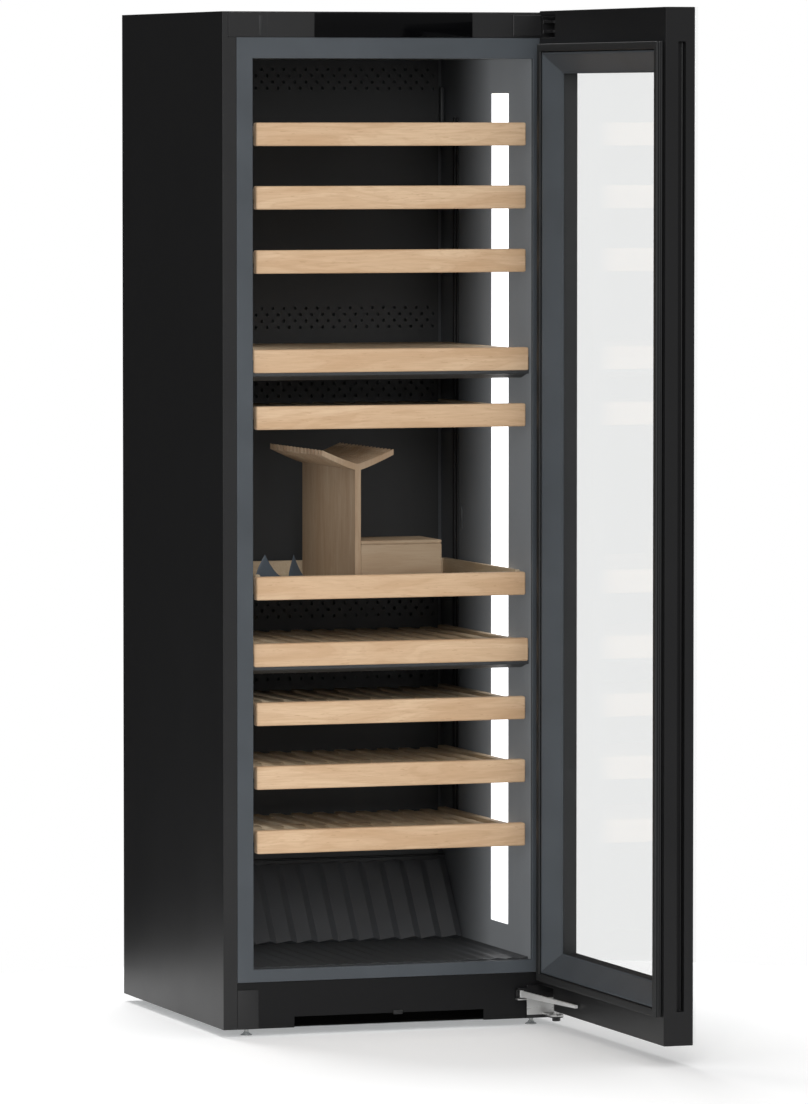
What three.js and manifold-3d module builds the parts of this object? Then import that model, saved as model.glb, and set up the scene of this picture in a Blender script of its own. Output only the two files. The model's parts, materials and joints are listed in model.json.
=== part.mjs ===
// Tall free-standing wine cooler with a glass door, ten beech shelves and three cooling zones.
// Millimetres, +Z up. The cabinet is drawn with X = 0 on its centre line, Y = 0 on its front
// face, +Y towards the back and Z = 0 on the floor. The door stands open at 90 degrees.

import * as THREE from 'three';
import { mergeVertices } from 'three/addons/utils/BufferGeometryUtils.js';
import Module from 'manifold-3d';

const wasm = await Module();
wasm.setup();

// ---- overall sizes -------------------------------------------------------------------------
const cabinetWidth = 590;
const cabinetDepth = 567;
const cabinetTop = 1683;
const footHeight = 13;
const clearance = 0.3;
const skin = 1.2;
const footInset = 46;
const frontFootSetback = 22;
const rearFootSetback = 40;
const footRadius = 10;
const footRim = 3;
const footStem = 4;

// ---- front of the cabinet ------------------------------------------------------------------
const flangeWidth = 24;
const frameSide = 28;
const frameDepth = 8;
const frameHead = 34.5;
const frameSill = 21;
const plinthHeight = 77;
const plinthWall = 2.5;
const ventLeft = 99;
const ventRight = 75;
const ventHeight = 18;
const panelHeight = 42;
const panelInset = 10.5;
const panelDepth = 40;
const panelWall = 3;
const displayWidth = 274;
const displayThickness = 1;

// ---- liner and insulation ------------------------------------------------------------------
const linerWall = 2.5;
const rearInsulation = 107;
const stepRun = 110;
const stepAngle = THREE.MathUtils.degToRad(54);
const stepInsulation = 35;
const toeSpace = 32;
const machineRoof = 237;
const ductDepth = 23;
const airPanelSide = 15;
const ledWidth = 87;
const ledFront = 120;
const ledMarginLow = 47;
const ledMarginHigh = 57;
const bandSlots = 8;
const bandSlotWidth = 36;
const bandSlotHeight = 14;
const bandMargin = 10;
const headBandDrop = 32;
const upperBandRise = 40;
const fanBandDrop = 77;
const lowerBandRise = 31;
const footBandDrop = 75;
const airPanelRise = 5;

// ---- shelves -------------------------------------------------------------------------------
const boardHeight = 38.3;
const boardThickness = 18;
const boardFront = 8;
const shelfSideGap = 8.5;
const dividerSideGap = 3.5;
const rackEdge = 3.5;
const rackThickness = 16;
const rackDrop = 6;
const rackRearGap = 34;
const slatWidth = 30;
const slatGap = 20;
const rackBorder = 36;
const trayRim = 9;
const trayFloor = 8;
const trayDepth = 22;
const trayRimRise = 3;
const dividerThickness = 13.5;
const deckThickness = 14;
const railGauge = 2;
const ledgeThickness = 3;
const ledgeGrip = 4;
const uprightWidth = 12;
const uprightFront = 60;
const uprightRear = 30;
const uprightOverrun = 30;
const ledgeSetback = 6;
const slatEnd = 24;
const deckRise = 4;
const dividerSetback = 2;

// Spacing from the opening's head down to each shelf top in turn, then to the floor. The eleven
// spacings share the height of the interior between them.
const shelfSpacing = [105, 104, 105, 163, 93, 280, 110, 97, 105, 106, 228];
const upperDivider = 3;
const presentationTray = 5;
const lowerDivider = 6;

// ---- presentation stand on the tray --------------------------------------------------------
const standX = -52;
const standFront = 30;
const standRearGap = 81.5;
const standBoard = 10;
const standHeadroom = 78;
const wingReach = 62;
const wingRise = 26;
const wingThickness = 7;
const boxWidth = 141;
const boxDepth = 110;
const boxHeight = 77;
const finHeight = 52;
const finBase = 46;
const finFoot = 15;
const finThickness = 3;
const finLeftPlace = [-148, 90];
const finRightPlace = [-100, 60];
const finRightTurn = THREE.MathUtils.degToRad(35);
const wingTip = 2;

// ---- door ----------------------------------------------------------------------------------
const doorThickness = 55;
const doorSideGap = 1;
const doorTopRise = 2;
const doorBottomRise = 21;
const doorGap = 12;
const doorOpenAngle = Math.PI / 2;
const pivotInset = 21;
const pivotDepth = 24;
const gasketWidth = 13;
const gasketMarginHinge = 18;
const gasketMarginFree = 12;
const gasketMarginTop = 54;
const gasketMarginBottom = 45.6;
const gasketGap = 0.5;
const bezelWidth = 33;
const bezelRise = 7.7;
const bezelFall = 16.7;
const bezelLip = 3;
const outerPane = 5;
const innerPane = 3.5;
const paneGap = 3;
const paneOverlap = 30;
const handleWidth = 12;
const handleDepth = 14;
const handleSetback = 22;
const handleMargin = 55;
const notchWidth = 75;
const notchDepth = 42;
const topNotchHeight = 37;
const topNotchCap = 7;
const bottomNotchHeight = 37;
const pinRadius = 5;
const pinEngagement = 15;

// ---- hinge hardware ------------------------------------------------------------------------
const bracketWall = 3.5;
const tongueWidth = 24;
const tongueThickness = 5;
const tongueInset = 8;
const tongueDrop = 12;
const hingeBlockMargin = 3;
const hingeFaceInset = 5;
const hingeFaceGap = 2;
const pinEndGap = 2;
const pinHeadRadius = 7;
const pinHeadDrop = 6;
const bracketReach = 40;
const bracketInset = 1;
const hingeCoverWidth = 50;
const hingeCoverMargin = 3;
const armLength = 205;
const armThickness = 5;
const armPivotOffset = 51;
const armPivotDepth = 8.2;
const armBoss = 3.3;
const armLevel = 55;
const armBossHeight = 12;
const armRootHalf = 5;
const armTipHalf = 2.5;
const armRestAngle = THREE.MathUtils.degToRad(6.2);
const forkReach = 8;
const forkThickness = 3.7;
const forkGap = 0.4;

// ---- machine parts -------------------------------------------------------------------------
const coverSlotWidth = 10;
const coverSlotPitch = 34;
const coverSlotLow = 50;
const coverSlotHigh = 60;
const compressorRadius = 55;
const compressorHeight = 140;
const compressorRim = 14;
const compressorX = -90;
const compressorGap = 8;
const fanRadius = 40;
const fanThickness = 12;
const fanHub = 12;
const fanBlades = 5;
const bladeRoot = 8;
const bladeThickness = 1.6;
const bladePitch = 0.6;

// ---- sizes that follow ---------------------------------------------------------------------
const half = cabinetWidth / 2;
const frameHalf = half - flangeWidth;
const openingHalf = frameHalf - frameSide;
const frameBottom = footHeight + plinthHeight;
const frameTop = cabinetTop - panelHeight;
const floorLevel = frameBottom + frameSill;
const openingTop = frameTop - frameHead;
const linerDepth = cabinetDepth - rearInsulation;
const stepStart = linerDepth - stepRun;
const airPanelBack = linerDepth - ductDepth;
const airPanelFront = airPanelBack - linerWall;
const panelTop = cabinetTop - skin - clearance;
const innerHalf = half - skin - clearance;
const doorHalf = half - doorSideGap;
const doorTop = cabinetTop + doorTopRise;
const doorBottom = footHeight + doorBottomRise;
const pivotX = doorHalf - pivotInset;
const pivotY = -doorGap - pivotDepth;
const boardHalf = openingHalf - shelfSideGap;
const rackHalf = boardHalf - rackEdge;
const rackFront = boardFront + boardThickness + clearance;
const rackRear = airPanelFront - rackRearGap;
const standRear = rackRear - trayRim - standRearGap;
const spacingScale = (openingTop - floorLevel) / shelfSpacing.reduce((sum, gap) => sum + gap, 0);

const shelfTops = [];
let nextTop = openingTop;
for (const gap of shelfSpacing.slice(0, -1)) {
  nextTop -= gap * spacingScale;
  shelfTops.push(nextTop);
}

// ---- finishes ------------------------------------------------------------------------------
const finish = (color, roughness, metalness) =>
  new THREE.MeshStandardMaterial({ color, roughness, metalness });
const blackSteel = finish(0x26282a, 0.42, 0.55);
const galvanised = finish(0x8b8f92, 0.5, 0.8);
const foam = finish(0xd9c98a, 0.95, 0);
const linerGray = finish(0x3c4043, 0.55, 0.1);
const frameGray = finish(0x55595d, 0.5, 0.15);
const blackGlass = finish(0x050506, 0.08, 0.1);
const chrome = finish(0xc9ccce, 0.2, 0.95);
const beech = finish(0xd8bc94, 0.6, 0);
const darkPlastic = finish(0x1c1d1f, 0.6, 0);
const lightPanel = finish(0xf4f5f4, 0.4, 0);
const rubber = finish(0x161718, 0.8, 0);
const slate = finish(0x4f5c68, 0.45, 0.3);
const clearGlass = new THREE.MeshStandardMaterial({
  color: 0xdfe6e6, roughness: 0.04, metalness: 0, transparent: true, opacity: 0.3,
});

// ---- geometry helpers ----------------------------------------------------------------------
const block = (x0, x1, y0, y1, z0, z1) => {
  const box = new THREE.BoxGeometry(Math.abs(x1 - x0), Math.abs(y1 - y0), Math.abs(z1 - z0));
  return box.translate((x0 + x1) / 2, (y0 + y1) / 2, (z0 + z1) / 2);
};

const rectangle = (u0, u1, v0, v1) => [[u0, v0], [u1, v0], [u1, v1], [u0, v1]];

const circle = (radius, sides, cx = 0, cy = 0) => {
  const points = [];
  for (let i = 0; i < sides; i += 1) {
    const angle = (i / sides) * Math.PI * 2;
    points.push([cx + radius * Math.cos(angle), cy + radius * Math.sin(angle)]);
  }
  return points;
};

// An outline in (Y, Z) carried along X, in (X, Z) along Y, or in (X, Y) along Z. Holes go
// through it, so their cutters pass both ends.
function extrude(axis, outline, low, high, holes = []) {
  const points = outline.map(([u, v]) => (axis === 'y' ? new THREE.Vector2(v, u) : new THREE.Vector2(u, v)));
  const shape = new THREE.Shape(points);
  const geometry = new THREE.ExtrudeGeometry(shape, { depth: high - low, bevelEnabled: false });
  geometry.translate(0, 0, low);
  const turn = new THREE.Matrix4();
  if (axis === 'x') {
    turn.set(0, 0, 1, 0, 1, 0, 0, 0, 0, 1, 0, 0, 0, 0, 0, 1);
  }
  if (axis === 'y') {
    turn.set(0, 1, 0, 0, 0, 0, 1, 0, 1, 0, 0, 0, 0, 0, 0, 1);
  }
  geometry.applyMatrix4(turn);
  if (holes.length === 0) {
    return geometry;
  }
  return cut(geometry, ...holes.map((hole) => extrude(axis, hole, low - 1, high + 1)));
}

// A profile of (radius, height) points turned about the Z axis.
function turned(profile, sides) {
  const points = profile.map(([radius, height]) => new THREE.Vector2(radius, height));
  const geometry = new THREE.LatheGeometry(points, sides);
  return geometry.rotateX(Math.PI / 2);
}

const cylinder = (radius, z0, z1, sides, cx = 0, cy = 0) =>
  extrude('z', circle(radius, sides, cx, cy), z0, z1);

// Closed mesh to solid and back, for cuts and joins.
function solid(geometry) {
  const bare = geometry.clone();
  bare.deleteAttribute('normal');
  bare.deleteAttribute('uv');
  const merged = mergeVertices(bare, 1e-4);
  return new wasm.Manifold(new wasm.Mesh({
    numProp: 3,
    vertProperties: merged.attributes.position.array,
    triVerts: Uint32Array.from(merged.index.array),
  }));
}

function surface(manifold) {
  const mesh = manifold.getMesh();
  const geometry = new THREE.BufferGeometry();
  geometry.setAttribute('position', new THREE.BufferAttribute(Float32Array.from(mesh.vertProperties), 3));
  geometry.setIndex(new THREE.BufferAttribute(Uint32Array.from(mesh.triVerts), 1));
  geometry.computeVertexNormals();
  return geometry;
}

const joined = (...pieces) => surface(pieces.map(solid).reduce((sum, piece) => sum.add(piece)));

const cut = (piece, ...tools) =>
  surface(tools.map(solid).reduce((rest, tool) => rest.subtract(tool), solid(piece)));

const cooler = new THREE.Group();

function add(name, geometry, material, parent = cooler) {
  const mesh = new THREE.Mesh(geometry, material);
  mesh.name = name;
  parent.add(mesh);
  return mesh;
}

// ---- outer shell ---------------------------------------------------------------------------
// A folded side: the tall side wall and the flange that borders the opening. The flange stops
// where the control panel crosses it.
function sidePanel(side) {
  const profile = [
    [side * half, 0],
    [side * frameHalf, 0],
    [side * frameHalf, skin],
    [side * (half - skin), skin],
    [side * (half - skin), cabinetDepth],
    [side * half, cabinetDepth],
  ];
  const folded = extrude('z', profile, footHeight, cabinetTop);
  const panelEnd = side * (half - panelInset + clearance);
  const relief = block(side * (frameHalf - 1), panelEnd, -1, panelDepth, frameTop, cabinetTop + 1);
  return cut(folded, relief);
}
add('side_panel_left', sidePanel(-1), blackSteel);
add('side_panel_right', sidePanel(1), blackSteel);
add('top_panel', block(-innerHalf, innerHalf, skin + clearance, cabinetDepth, cabinetTop - skin, cabinetTop),
  blackSteel);

const rearTop = cabinetTop - skin - clearance;
add('back_panel', block(-innerHalf, innerHalf, cabinetDepth - skin, cabinetDepth,
  footHeight + machineRoof + clearance, rearTop), galvanised);

const rearInside = cabinetDepth - skin - clearance;
const trayFront = plinthWall + 2 * clearance + skin;
add('base_tray', block(-innerHalf, innerHalf, trayFront, rearInside, footHeight, footHeight + skin),
  galvanised);

// The cover of the machine compartment breathes through a row of upright slots.
function machineCover() {
  const low = footHeight + skin + clearance;
  const high = footHeight + machineRoof;
  const slots = [];
  const slotCount = 2 * Math.floor((innerHalf - coverSlotPitch) / coverSlotPitch);
  for (let i = 0; i < slotCount; i += 1) {
    const x = (i - (slotCount - 1) / 2) * coverSlotPitch;
    slots.push(rectangle(x - coverSlotWidth / 2, x + coverSlotWidth / 2,
      low + coverSlotLow, high - coverSlotHigh));
  }
  return extrude('y', rectangle(-innerHalf, innerHalf, low, high), cabinetDepth - skin, cabinetDepth, slots);
}
add('machine_cover', machineCover(), galvanised);

// ---- liner, insulation and front frame -----------------------------------------------------
// Side view of the interior: flat floor, inclined step over the machine compartment, upright
// back and flat head. The outline grows outwards by the offset.
function interiorOutline(offset, front) {
  const knee = stepStart + offset * Math.tan(stepAngle / 2);
  const run = linerDepth + offset - stepStart;
  const rearLow = floorLevel + run * Math.tan(stepAngle) - offset / Math.cos(stepAngle);
  return [
    [front, floorLevel - offset],
    [knee, floorLevel - offset],
    [linerDepth + offset, rearLow],
    [linerDepth + offset, openingTop + offset],
    [front, openingTop + offset],
  ];
}

const linerFront = frameDepth + clearance;
const linerProfile = [
  ...interiorOutline(linerWall, linerFront),
  ...interiorOutline(0, linerFront).reverse(),
];
const linerHalf = openingHalf - clearance;
add('liner_shell', extrude('x', linerProfile, -linerHalf, linerHalf), linerGray);

const ledLow = floorLevel + ledMarginLow;
const ledHigh = openingTop - ledMarginHigh;
for (const [name, side] of [['left', -1], ['right', 1]]) {
  const near = Math.min(side * openingHalf, side * (openingHalf + linerWall));
  const window = rectangle(ledFront - clearance, ledFront + ledWidth + clearance,
    ledLow - clearance, ledHigh + clearance);
  const wall = extrude('x', interiorOutline(linerWall, linerFront), near, near + linerWall, [window]);
  add(`liner_${name}`, wall, linerGray);
  add(`light_panel_${name}`,
    block(near, near + linerWall, ledFront, ledFront + ledWidth, ledLow, ledHigh), lightPanel);
}

// Foam between the liner and the steel, with room for the machine compartment, the toe space
// and the control panel.
function insulation() {
  const foamLow = footHeight + toeSpace;
  const machineKnee = stepStart + stepInsulation * Math.tan(stepAngle / 2);
  const machineFront = machineKnee - (floorLevel - stepInsulation - foamLow) / Math.tan(stepAngle);
  const roof = footHeight + machineRoof;
  const roofFront = machineKnee + (roof - floorLevel + stepInsulation) / Math.tan(stepAngle);
  const profile = [
    [linerFront, foamLow],
    [machineFront, foamLow],
    [roofFront, roof],
    [rearInside, roof],
    [rearInside, rearTop - clearance],
    [panelDepth + 2 * clearance, rearTop - clearance],
    [panelDepth + 2 * clearance, frameTop - clearance],
    [linerFront, frameTop - clearance],
  ];
  const body = extrude('x', profile, -innerHalf, innerHalf);
  const grown = linerWall + clearance;
  const cavity = extrude('x', interiorOutline(grown, -1), -openingHalf - grown, openingHalf + grown);
  return cut(body, cavity);
}
add('insulation', insulation(), foam);

const frameOuter = rectangle(-frameHalf + clearance, frameHalf - clearance, frameBottom,
  frameTop - clearance);
const frameInner = rectangle(-openingHalf, openingHalf, floorLevel, openingTop);
add('front_frame', extrude('y', frameOuter, 0, frameDepth, [frameInner]), frameGray);

// ---- control panel -------------------------------------------------------------------------
const panelHalf = half - panelInset;
const panelProfile = [
  [0, frameTop],
  [panelDepth, frameTop],
  [panelDepth, frameTop + panelWall],
  [panelWall, frameTop + panelWall],
  [panelWall, panelTop - panelWall],
  [panelDepth, panelTop - panelWall],
  [panelDepth, panelTop],
  [0, panelTop],
];
add('control_panel', extrude('x', panelProfile, -panelHalf, panelHalf), blackSteel);
add('display_glass', block(-displayWidth / 2, displayWidth / 2, -displayThickness - clearance, -clearance,
  frameTop + clearance, panelTop - clearance), blackGlass);

const hingeBlockHalf = tongueWidth / 2 + hingeBlockMargin;
const hingeCoverRight = pivotX - hingeBlockHalf - clearance;
add('hinge_cover', block(hingeCoverRight - hingeCoverWidth, hingeCoverRight, -panelWall, -clearance,
  frameTop + hingeCoverMargin, panelTop - hingeCoverMargin), blackSteel);

// ---- plinth --------------------------------------------------------------------------------
// The kick plate has a shallow air inlet along the floor.
const bracketLeft = pivotX - bracketReach;
const plinthRight = frameHalf - clearance;
const ventX = -frameHalf + ventLeft;
const plinthProfile = [
  [-frameHalf + clearance, footHeight],
  [ventX, footHeight],
  [ventX, footHeight + ventHeight],
  [bracketLeft - ventRight, footHeight + ventHeight],
  [bracketLeft - ventRight, footHeight],
  [plinthRight, footHeight],
  [plinthRight, frameBottom - clearance],
  [-frameHalf + clearance, frameBottom - clearance],
];
add('plinth', extrude('y', plinthProfile, skin, skin + plinthWall), blackSteel);

// ---- feet ----------------------------------------------------------------------------------
const footX = half - footInset;
const footProfile = [
  [0, 0], [footRadius, 0], [footRadius, footRim], [footStem, 2 * footRim],
  [footStem, footHeight - clearance], [0, footHeight - clearance],
];
const footPlaces = {
  foot_front_left: [-footX, frontFootSetback],
  foot_front_right: [footX, frontFootSetback],
  foot_rear_left: [-footX, cabinetDepth - rearFootSetback],
  foot_rear_right: [footX, cabinetDepth - rearFootSetback],
};
for (const [name, [x, y]] of Object.entries(footPlaces)) {
  add(name, surface(solid(turned(footProfile, 20))), chrome).position.set(x, y, 0);
}

// ---- shelf rails ---------------------------------------------------------------------------
// Level of the underside of what each pair of ledges carries.
const dividerBottom = -boardHeight - dividerThickness - clearance;
const carried = shelfTops.map((top, i) => {
  if (i === upperDivider || i === lowerDivider) {
    return top + dividerBottom;
  }
  return i === presentationTray ? top - trayDepth - trayFloor : top - rackDrop - rackThickness;
});

function shelfRails(side) {
  const wall = side * (openingHalf - 2 * clearance);
  const leaf = wall - side * railGauge;
  const low = carried[carried.length - 1] - uprightOverrun;
  const high = carried[0] + uprightOverrun;
  const pieces = [];
  for (const y of [uprightFront, rackRear - uprightRear]) {
    pieces.push(block(wall, leaf, y, y + uprightWidth, low, high));
  }
  for (const level of carried) {
    const top = level - clearance;
    pieces.push(block(wall, side * (rackHalf - ledgeGrip), rackFront + ledgeSetback, rackRear,
      top - ledgeThickness, top));
  }
  return joined(...pieces);
}
add('shelf_rails_left', shelfRails(-1), darkPlastic);
add('shelf_rails_right', shelfRails(1), darkPlastic);

// ---- rear air panel and its fan ------------------------------------------------------------
const airBands = [
  openingTop - headBandDrop,
  shelfTops[upperDivider] + upperBandRise,
  shelfTops[upperDivider] - fanBandDrop,
  shelfTops[lowerDivider] + lowerBandRise,
  shelfTops[lowerDivider] - footBandDrop,
];

function airPanel() {
  const halfWidth = openingHalf - airPanelSide;
  const low = floorLevel + (airPanelBack - stepStart) * Math.tan(stepAngle) + airPanelRise;
  const slots = [];
  for (const level of airBands) {
    for (let i = 0; i < bandSlots; i += 1) {
      const x = ((i - (bandSlots - 1) / 2) / (bandSlots / 2)) * (halfWidth - bandMargin);
      slots.push(rectangle(x - bandSlotWidth / 2, x + bandSlotWidth / 2,
        level - bandSlotHeight / 2, level + bandSlotHeight / 2));
    }
  }
  const outline = rectangle(-halfWidth, halfWidth, low, openingTop - clearance);
  return extrude('y', outline, airPanelFront, airPanelBack, slots);
}
add('air_panel', airPanel(), darkPlastic);

function fan() {
  const pieces = [cylinder(fanHub, -fanThickness / 2, fanThickness / 2, 16)];
  for (let i = 0; i < fanBlades; i += 1) {
    const blade = block(bladeRoot, fanRadius, -bladeThickness / 2, bladeThickness / 2,
      -fanThickness / 2 + 1, fanThickness / 2 - 1);
    blade.rotateX(bladePitch);
    blade.rotateZ((i / fanBlades) * Math.PI * 2);
    pieces.push(blade);
  }
  return joined(...pieces);
}
const fanMesh = add('circulation_fan', fan(), darkPlastic);
fanMesh.rotation.x = Math.PI / 2;
fanMesh.position.set(0, airPanelBack + ductDepth / 2, airBands[2]);

// ---- shelves -------------------------------------------------------------------------------
// A rack is one plate with long gaps that leave slats running from front to back.
function rack(low, high, halfWidth, rear, open) {
  const holes = [];
  const pitch = slatWidth + slatGap;
  const count = open ? Math.floor((2 * (halfWidth - rackBorder) + slatWidth) / pitch) : 0;
  for (let i = 0; i < count; i += 1) {
    const x = (i - (count - 1) / 2) * pitch;
    holes.push(rectangle(x - slatGap / 2, x + slatGap / 2, rackFront + slatEnd, rear - slatEnd));
  }
  return extrude('z', rectangle(-halfWidth, halfWidth, rackFront, rear), low, high, holes);
}

// The tray has a rim on three sides; its front board closes the fourth.
function tray(halfWidth) {
  const low = -trayDepth - trayFloor;
  const body = block(-halfWidth, halfWidth, rackFront, rackRear, low, trayRimRise);
  const hollow = block(-halfWidth + trayRim, halfWidth - trayRim, rackFront - 1,
    rackRear - trayRim, -trayDepth, trayRimRise + 1);
  return cut(body, hollow);
}

shelfTops.forEach((top, i) => {
  const shelf = new THREE.Group();
  shelf.position.z = top;
  cooler.add(shelf);
  const number = i + 1;
  const fixed = i === upperDivider || i === lowerDivider;
  const boardReach = openingHalf - (fixed ? dividerSideGap : shelfSideGap);
  add(`shelf_${number}_board`, block(-boardReach, boardReach, boardFront, boardFront + boardThickness,
    -boardHeight, 0), beech, shelf);
  if (fixed) {
    const deckTop = -rackDrop + deckRise;
    const under = deckTop - deckThickness - clearance;
    const profile = [
      [boardFront + dividerSetback, dividerBottom],
      [airPanelFront - clearance, dividerBottom],
      [airPanelFront - clearance, under],
      [rackFront, under],
      [rackFront, -boardHeight - clearance],
      [boardFront + dividerSetback, -boardHeight - clearance],
    ];
    const reach = openingHalf - 2 * clearance - railGauge - clearance;
    const zone = i === upperDivider ? 'upper' : 'lower';
    add(`zone_divider_${zone}`, extrude('x', profile, -reach, reach), frameGray, shelf);
    add(`shelf_${number}_deck`, rack(under + clearance, deckTop, rackHalf, rackRear,
      i === lowerDivider), beech, shelf);
  } else if (i === presentationTray) {
    add(`shelf_${number}_tray`, tray(rackHalf), beech, shelf);
  } else {
    add(`shelf_${number}_rack`, rack(-rackDrop - rackThickness, -rackDrop, rackHalf, rackRear, true),
      beech, shelf);
  }
});

// ---- presentation stand --------------------------------------------------------------------
// A Y-shaped bottle cradle: an upright board that opens into two rising wings.
const trayTop = shelfTops[presentationTray] - trayDepth + clearance;
const standTop = shelfTops[presentationTray - 1] - rackDrop - rackThickness - standHeadroom;
const cradleProfile = [
  [standX - standBoard / 2, trayTop],
  [standX + standBoard / 2, trayTop],
  [standX + standBoard / 2, standTop - wingThickness],
  [standX + wingReach, standTop + wingRise - wingThickness],
  [standX + wingReach - wingTip, standTop + wingRise],
  [standX, standTop + wingTip],
  [standX - wingReach + wingTip, standTop + wingRise],
  [standX - wingReach, standTop + wingRise - wingThickness],
  [standX - standBoard / 2, standTop - wingThickness],
];
add('bottle_cradle', extrude('y', cradleProfile, standFront, standRear), beech);

const boxLeft = standX + standBoard / 2 + clearance;
add('accessory_box', block(boxLeft, boxLeft + boxWidth, standFront, standFront + boxDepth,
  trayTop, trayTop + boxHeight), beech);

// A fin stands on the tray with an upright foot, then narrows to a point in two hollow curves.
function fin() {
  const bend = (finFoot + finHeight) / 2;
  const shape = new THREE.Shape();
  shape.moveTo(0, 0);
  shape.lineTo(finBase, 0);
  shape.lineTo(finBase, finFoot);
  shape.quadraticCurveTo(finBase * 0.56, bend, finBase * 0.36, finHeight);
  shape.quadraticCurveTo(finBase * 0.26, bend, 0, finFoot);
  const outline = shape.getPoints(6).map((point) => [point.x, point.y]);
  return extrude('y', outline, 0, finThickness);
}
add('fin_left', fin(), slate).position.set(standX + finLeftPlace[0], standFront + finLeftPlace[1], trayTop);
const finRight = add('fin_right', fin(), slate);
finRight.position.set(standX + finRightPlace[0], standFront + finRightPlace[1], trayTop);
finRight.rotation.z = finRightTurn;

// ---- compressor ----------------------------------------------------------------------------
const compressorProfile = [
  [0, 0], [compressorRadius * 0.8, 0], [compressorRadius, compressorRim],
  [compressorRadius, compressorHeight * 0.62],
  [compressorRadius * 0.82, compressorHeight * 0.88], [compressorRadius * 0.4, compressorHeight],
  [0, compressorHeight],
];
add('compressor', surface(solid(turned(compressorProfile, 24))), darkPlastic)
  .position.set(compressorX, rearInside - compressorRadius - compressorGap, footHeight + skin + clearance);

// ---- fixed hinge hardware ------------------------------------------------------------------
// A tongue reaches from the cabinet to the door's pivot and ends in a half round.
function tongue(low, high) {
  const reach = tongueWidth / 2;
  const bar = block(pivotX - reach, pivotX + reach, pivotY, -1, low, high);
  return [bar, cylinder(reach, low, high, 20, pivotX, pivotY)];
}

const topNotchLow = doorTop - topNotchCap - topNotchHeight;
const topNotchHigh = doorTop - topNotchCap;
function topHinge() {
  const face = block(pivotX - hingeBlockHalf, pivotX + hingeBlockHalf, -panelWall, -clearance,
    topNotchLow + hingeFaceInset, topNotchHigh - hingeFaceGap);
  const low = topNotchLow + tongueInset;
  const high = topNotchHigh - tongueInset;
  const lower = tongue(low, low + tongueThickness);
  const upper = tongue(high - tongueThickness, high);
  const pin = cylinder(pinRadius, topNotchLow - pinEngagement + pinEndGap, high - 1, 16, pivotX, pivotY);
  return joined(face, ...lower, ...upper, pin);
}
add('top_hinge_bracket', topHinge(), darkPlastic);

const bottomNotchTop = doorBottom + bottomNotchHeight;
const armPivotX = pivotX - armPivotOffset;
function bottomHinge() {
  const outside = -bracketWall - clearance;
  const face = block(bracketLeft, half - bracketInset, outside, -clearance, footHeight + bracketInset,
    bottomNotchTop - hingeFaceGap);
  const tongueTop = doorBottom - tongueDrop;
  const plate = tongue(tongueTop - tongueThickness, tongueTop);
  const pinTop = bottomNotchTop + pinEngagement - pinEndGap;
  const pin = cylinder(pinRadius, tongueTop - 1, pinTop, 16, pivotX, pivotY);
  const head = cylinder(pinHeadRadius, tongueTop - tongueThickness - pinHeadDrop, tongueTop - 1, 12,
    pivotX, pivotY);
  const forkHalf = armBossHeight / 2 + clearance + forkThickness;
  const web = block(armPivotX - forkReach, bracketLeft + 1, outside, -clearance,
    armLevel - forkHalf, armLevel + forkHalf);
  const pieces = [face, ...plate, pin, head, web];
  for (const side of [-1, 1]) {
    const near = armLevel + side * (armBossHeight / 2 + clearance);
    pieces.push(block(armPivotX - forkReach, armPivotX + forkReach, -doorGap + forkGap, -bracketWall,
      near, near + side * forkThickness));
  }
  return joined(...pieces);
}
add('bottom_hinge_bracket', bottomHinge(), chrome);

// ---- door stay -----------------------------------------------------------------------------
// The stay swings about its boss on the cabinet. It points along -Y before its rest turn.
function stay() {
  const profile = [[0, -armRootHalf], [0, armRootHalf], [-armLength, armTipHalf], [-armLength, -armTipHalf]];
  const bar = extrude('x', profile, -armThickness / 2, armThickness / 2);
  const boss = cylinder(armBoss, -armBossHeight / 2, armBossHeight / 2, 16);
  return joined(bar, boss);
}
const stayMesh = add('door_stay', stay(), chrome);
stayMesh.position.set(armPivotX, -armPivotDepth, armLevel);
stayMesh.rotation.z = armRestAngle;

// ---- door ----------------------------------------------------------------------------------
// The door is drawn shut about its own pivot, then turned open. Its inner face is at
// y = pivotDepth; depths are measured from there towards the outer face.
const door = new THREE.Group();
door.position.set(pivotX, pivotY, 0);
door.rotation.z = doorOpenAngle;
cooler.add(door);

const hingeEdge = pivotInset;
const freeEdge = pivotInset - 2 * doorHalf;
const innerFace = pivotDepth;
const outerFace = pivotDepth - doorThickness;
const paneBack = outerFace + outerPane + clearance;
const paneDepth = paneBack + paneGap;

// A rectangle in the door's plane, inset from the gasket's outer edge.
const doorRectangle = (inset) => rectangle(
  freeEdge + gasketMarginFree + inset,
  hingeEdge - gasketMarginHinge - inset,
  doorBottom + gasketMarginBottom + inset,
  doorTop - gasketMarginTop - inset,
);

function doorCasing() {
  const shell = extrude('y', rectangle(freeEdge, hingeEdge, doorBottom, doorTop), paneBack, innerFace,
    [doorRectangle(gasketWidth + clearance)]);
  const notchLeft = hingeEdge - notchWidth;
  const beyond = hingeEdge + 1;
  const topNotch = block(notchLeft, beyond, innerFace - notchDepth, innerFace + 1, topNotchLow, topNotchHigh);
  const bottomNotch = block(notchLeft, beyond, innerFace - notchDepth, innerFace + 1,
    doorBottom - 1, bottomNotchTop);
  const bush = pinRadius + clearance;
  const topBore = cylinder(bush, topNotchLow - pinEngagement, topNotchLow + 1, 16);
  const bottomBore = cylinder(bush, bottomNotchTop - 1, bottomNotchTop + pinEngagement, 16);
  const grip = block(freeEdge - 1, freeEdge + handleDepth, innerFace - handleSetback - handleWidth,
    innerFace - handleSetback, doorBottom + handleMargin, doorTop - handleMargin);
  return cut(shell, topNotch, bottomNotch, topBore, bottomBore, grip);
}
add('door_casing', doorCasing(), blackSteel, door);

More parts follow.
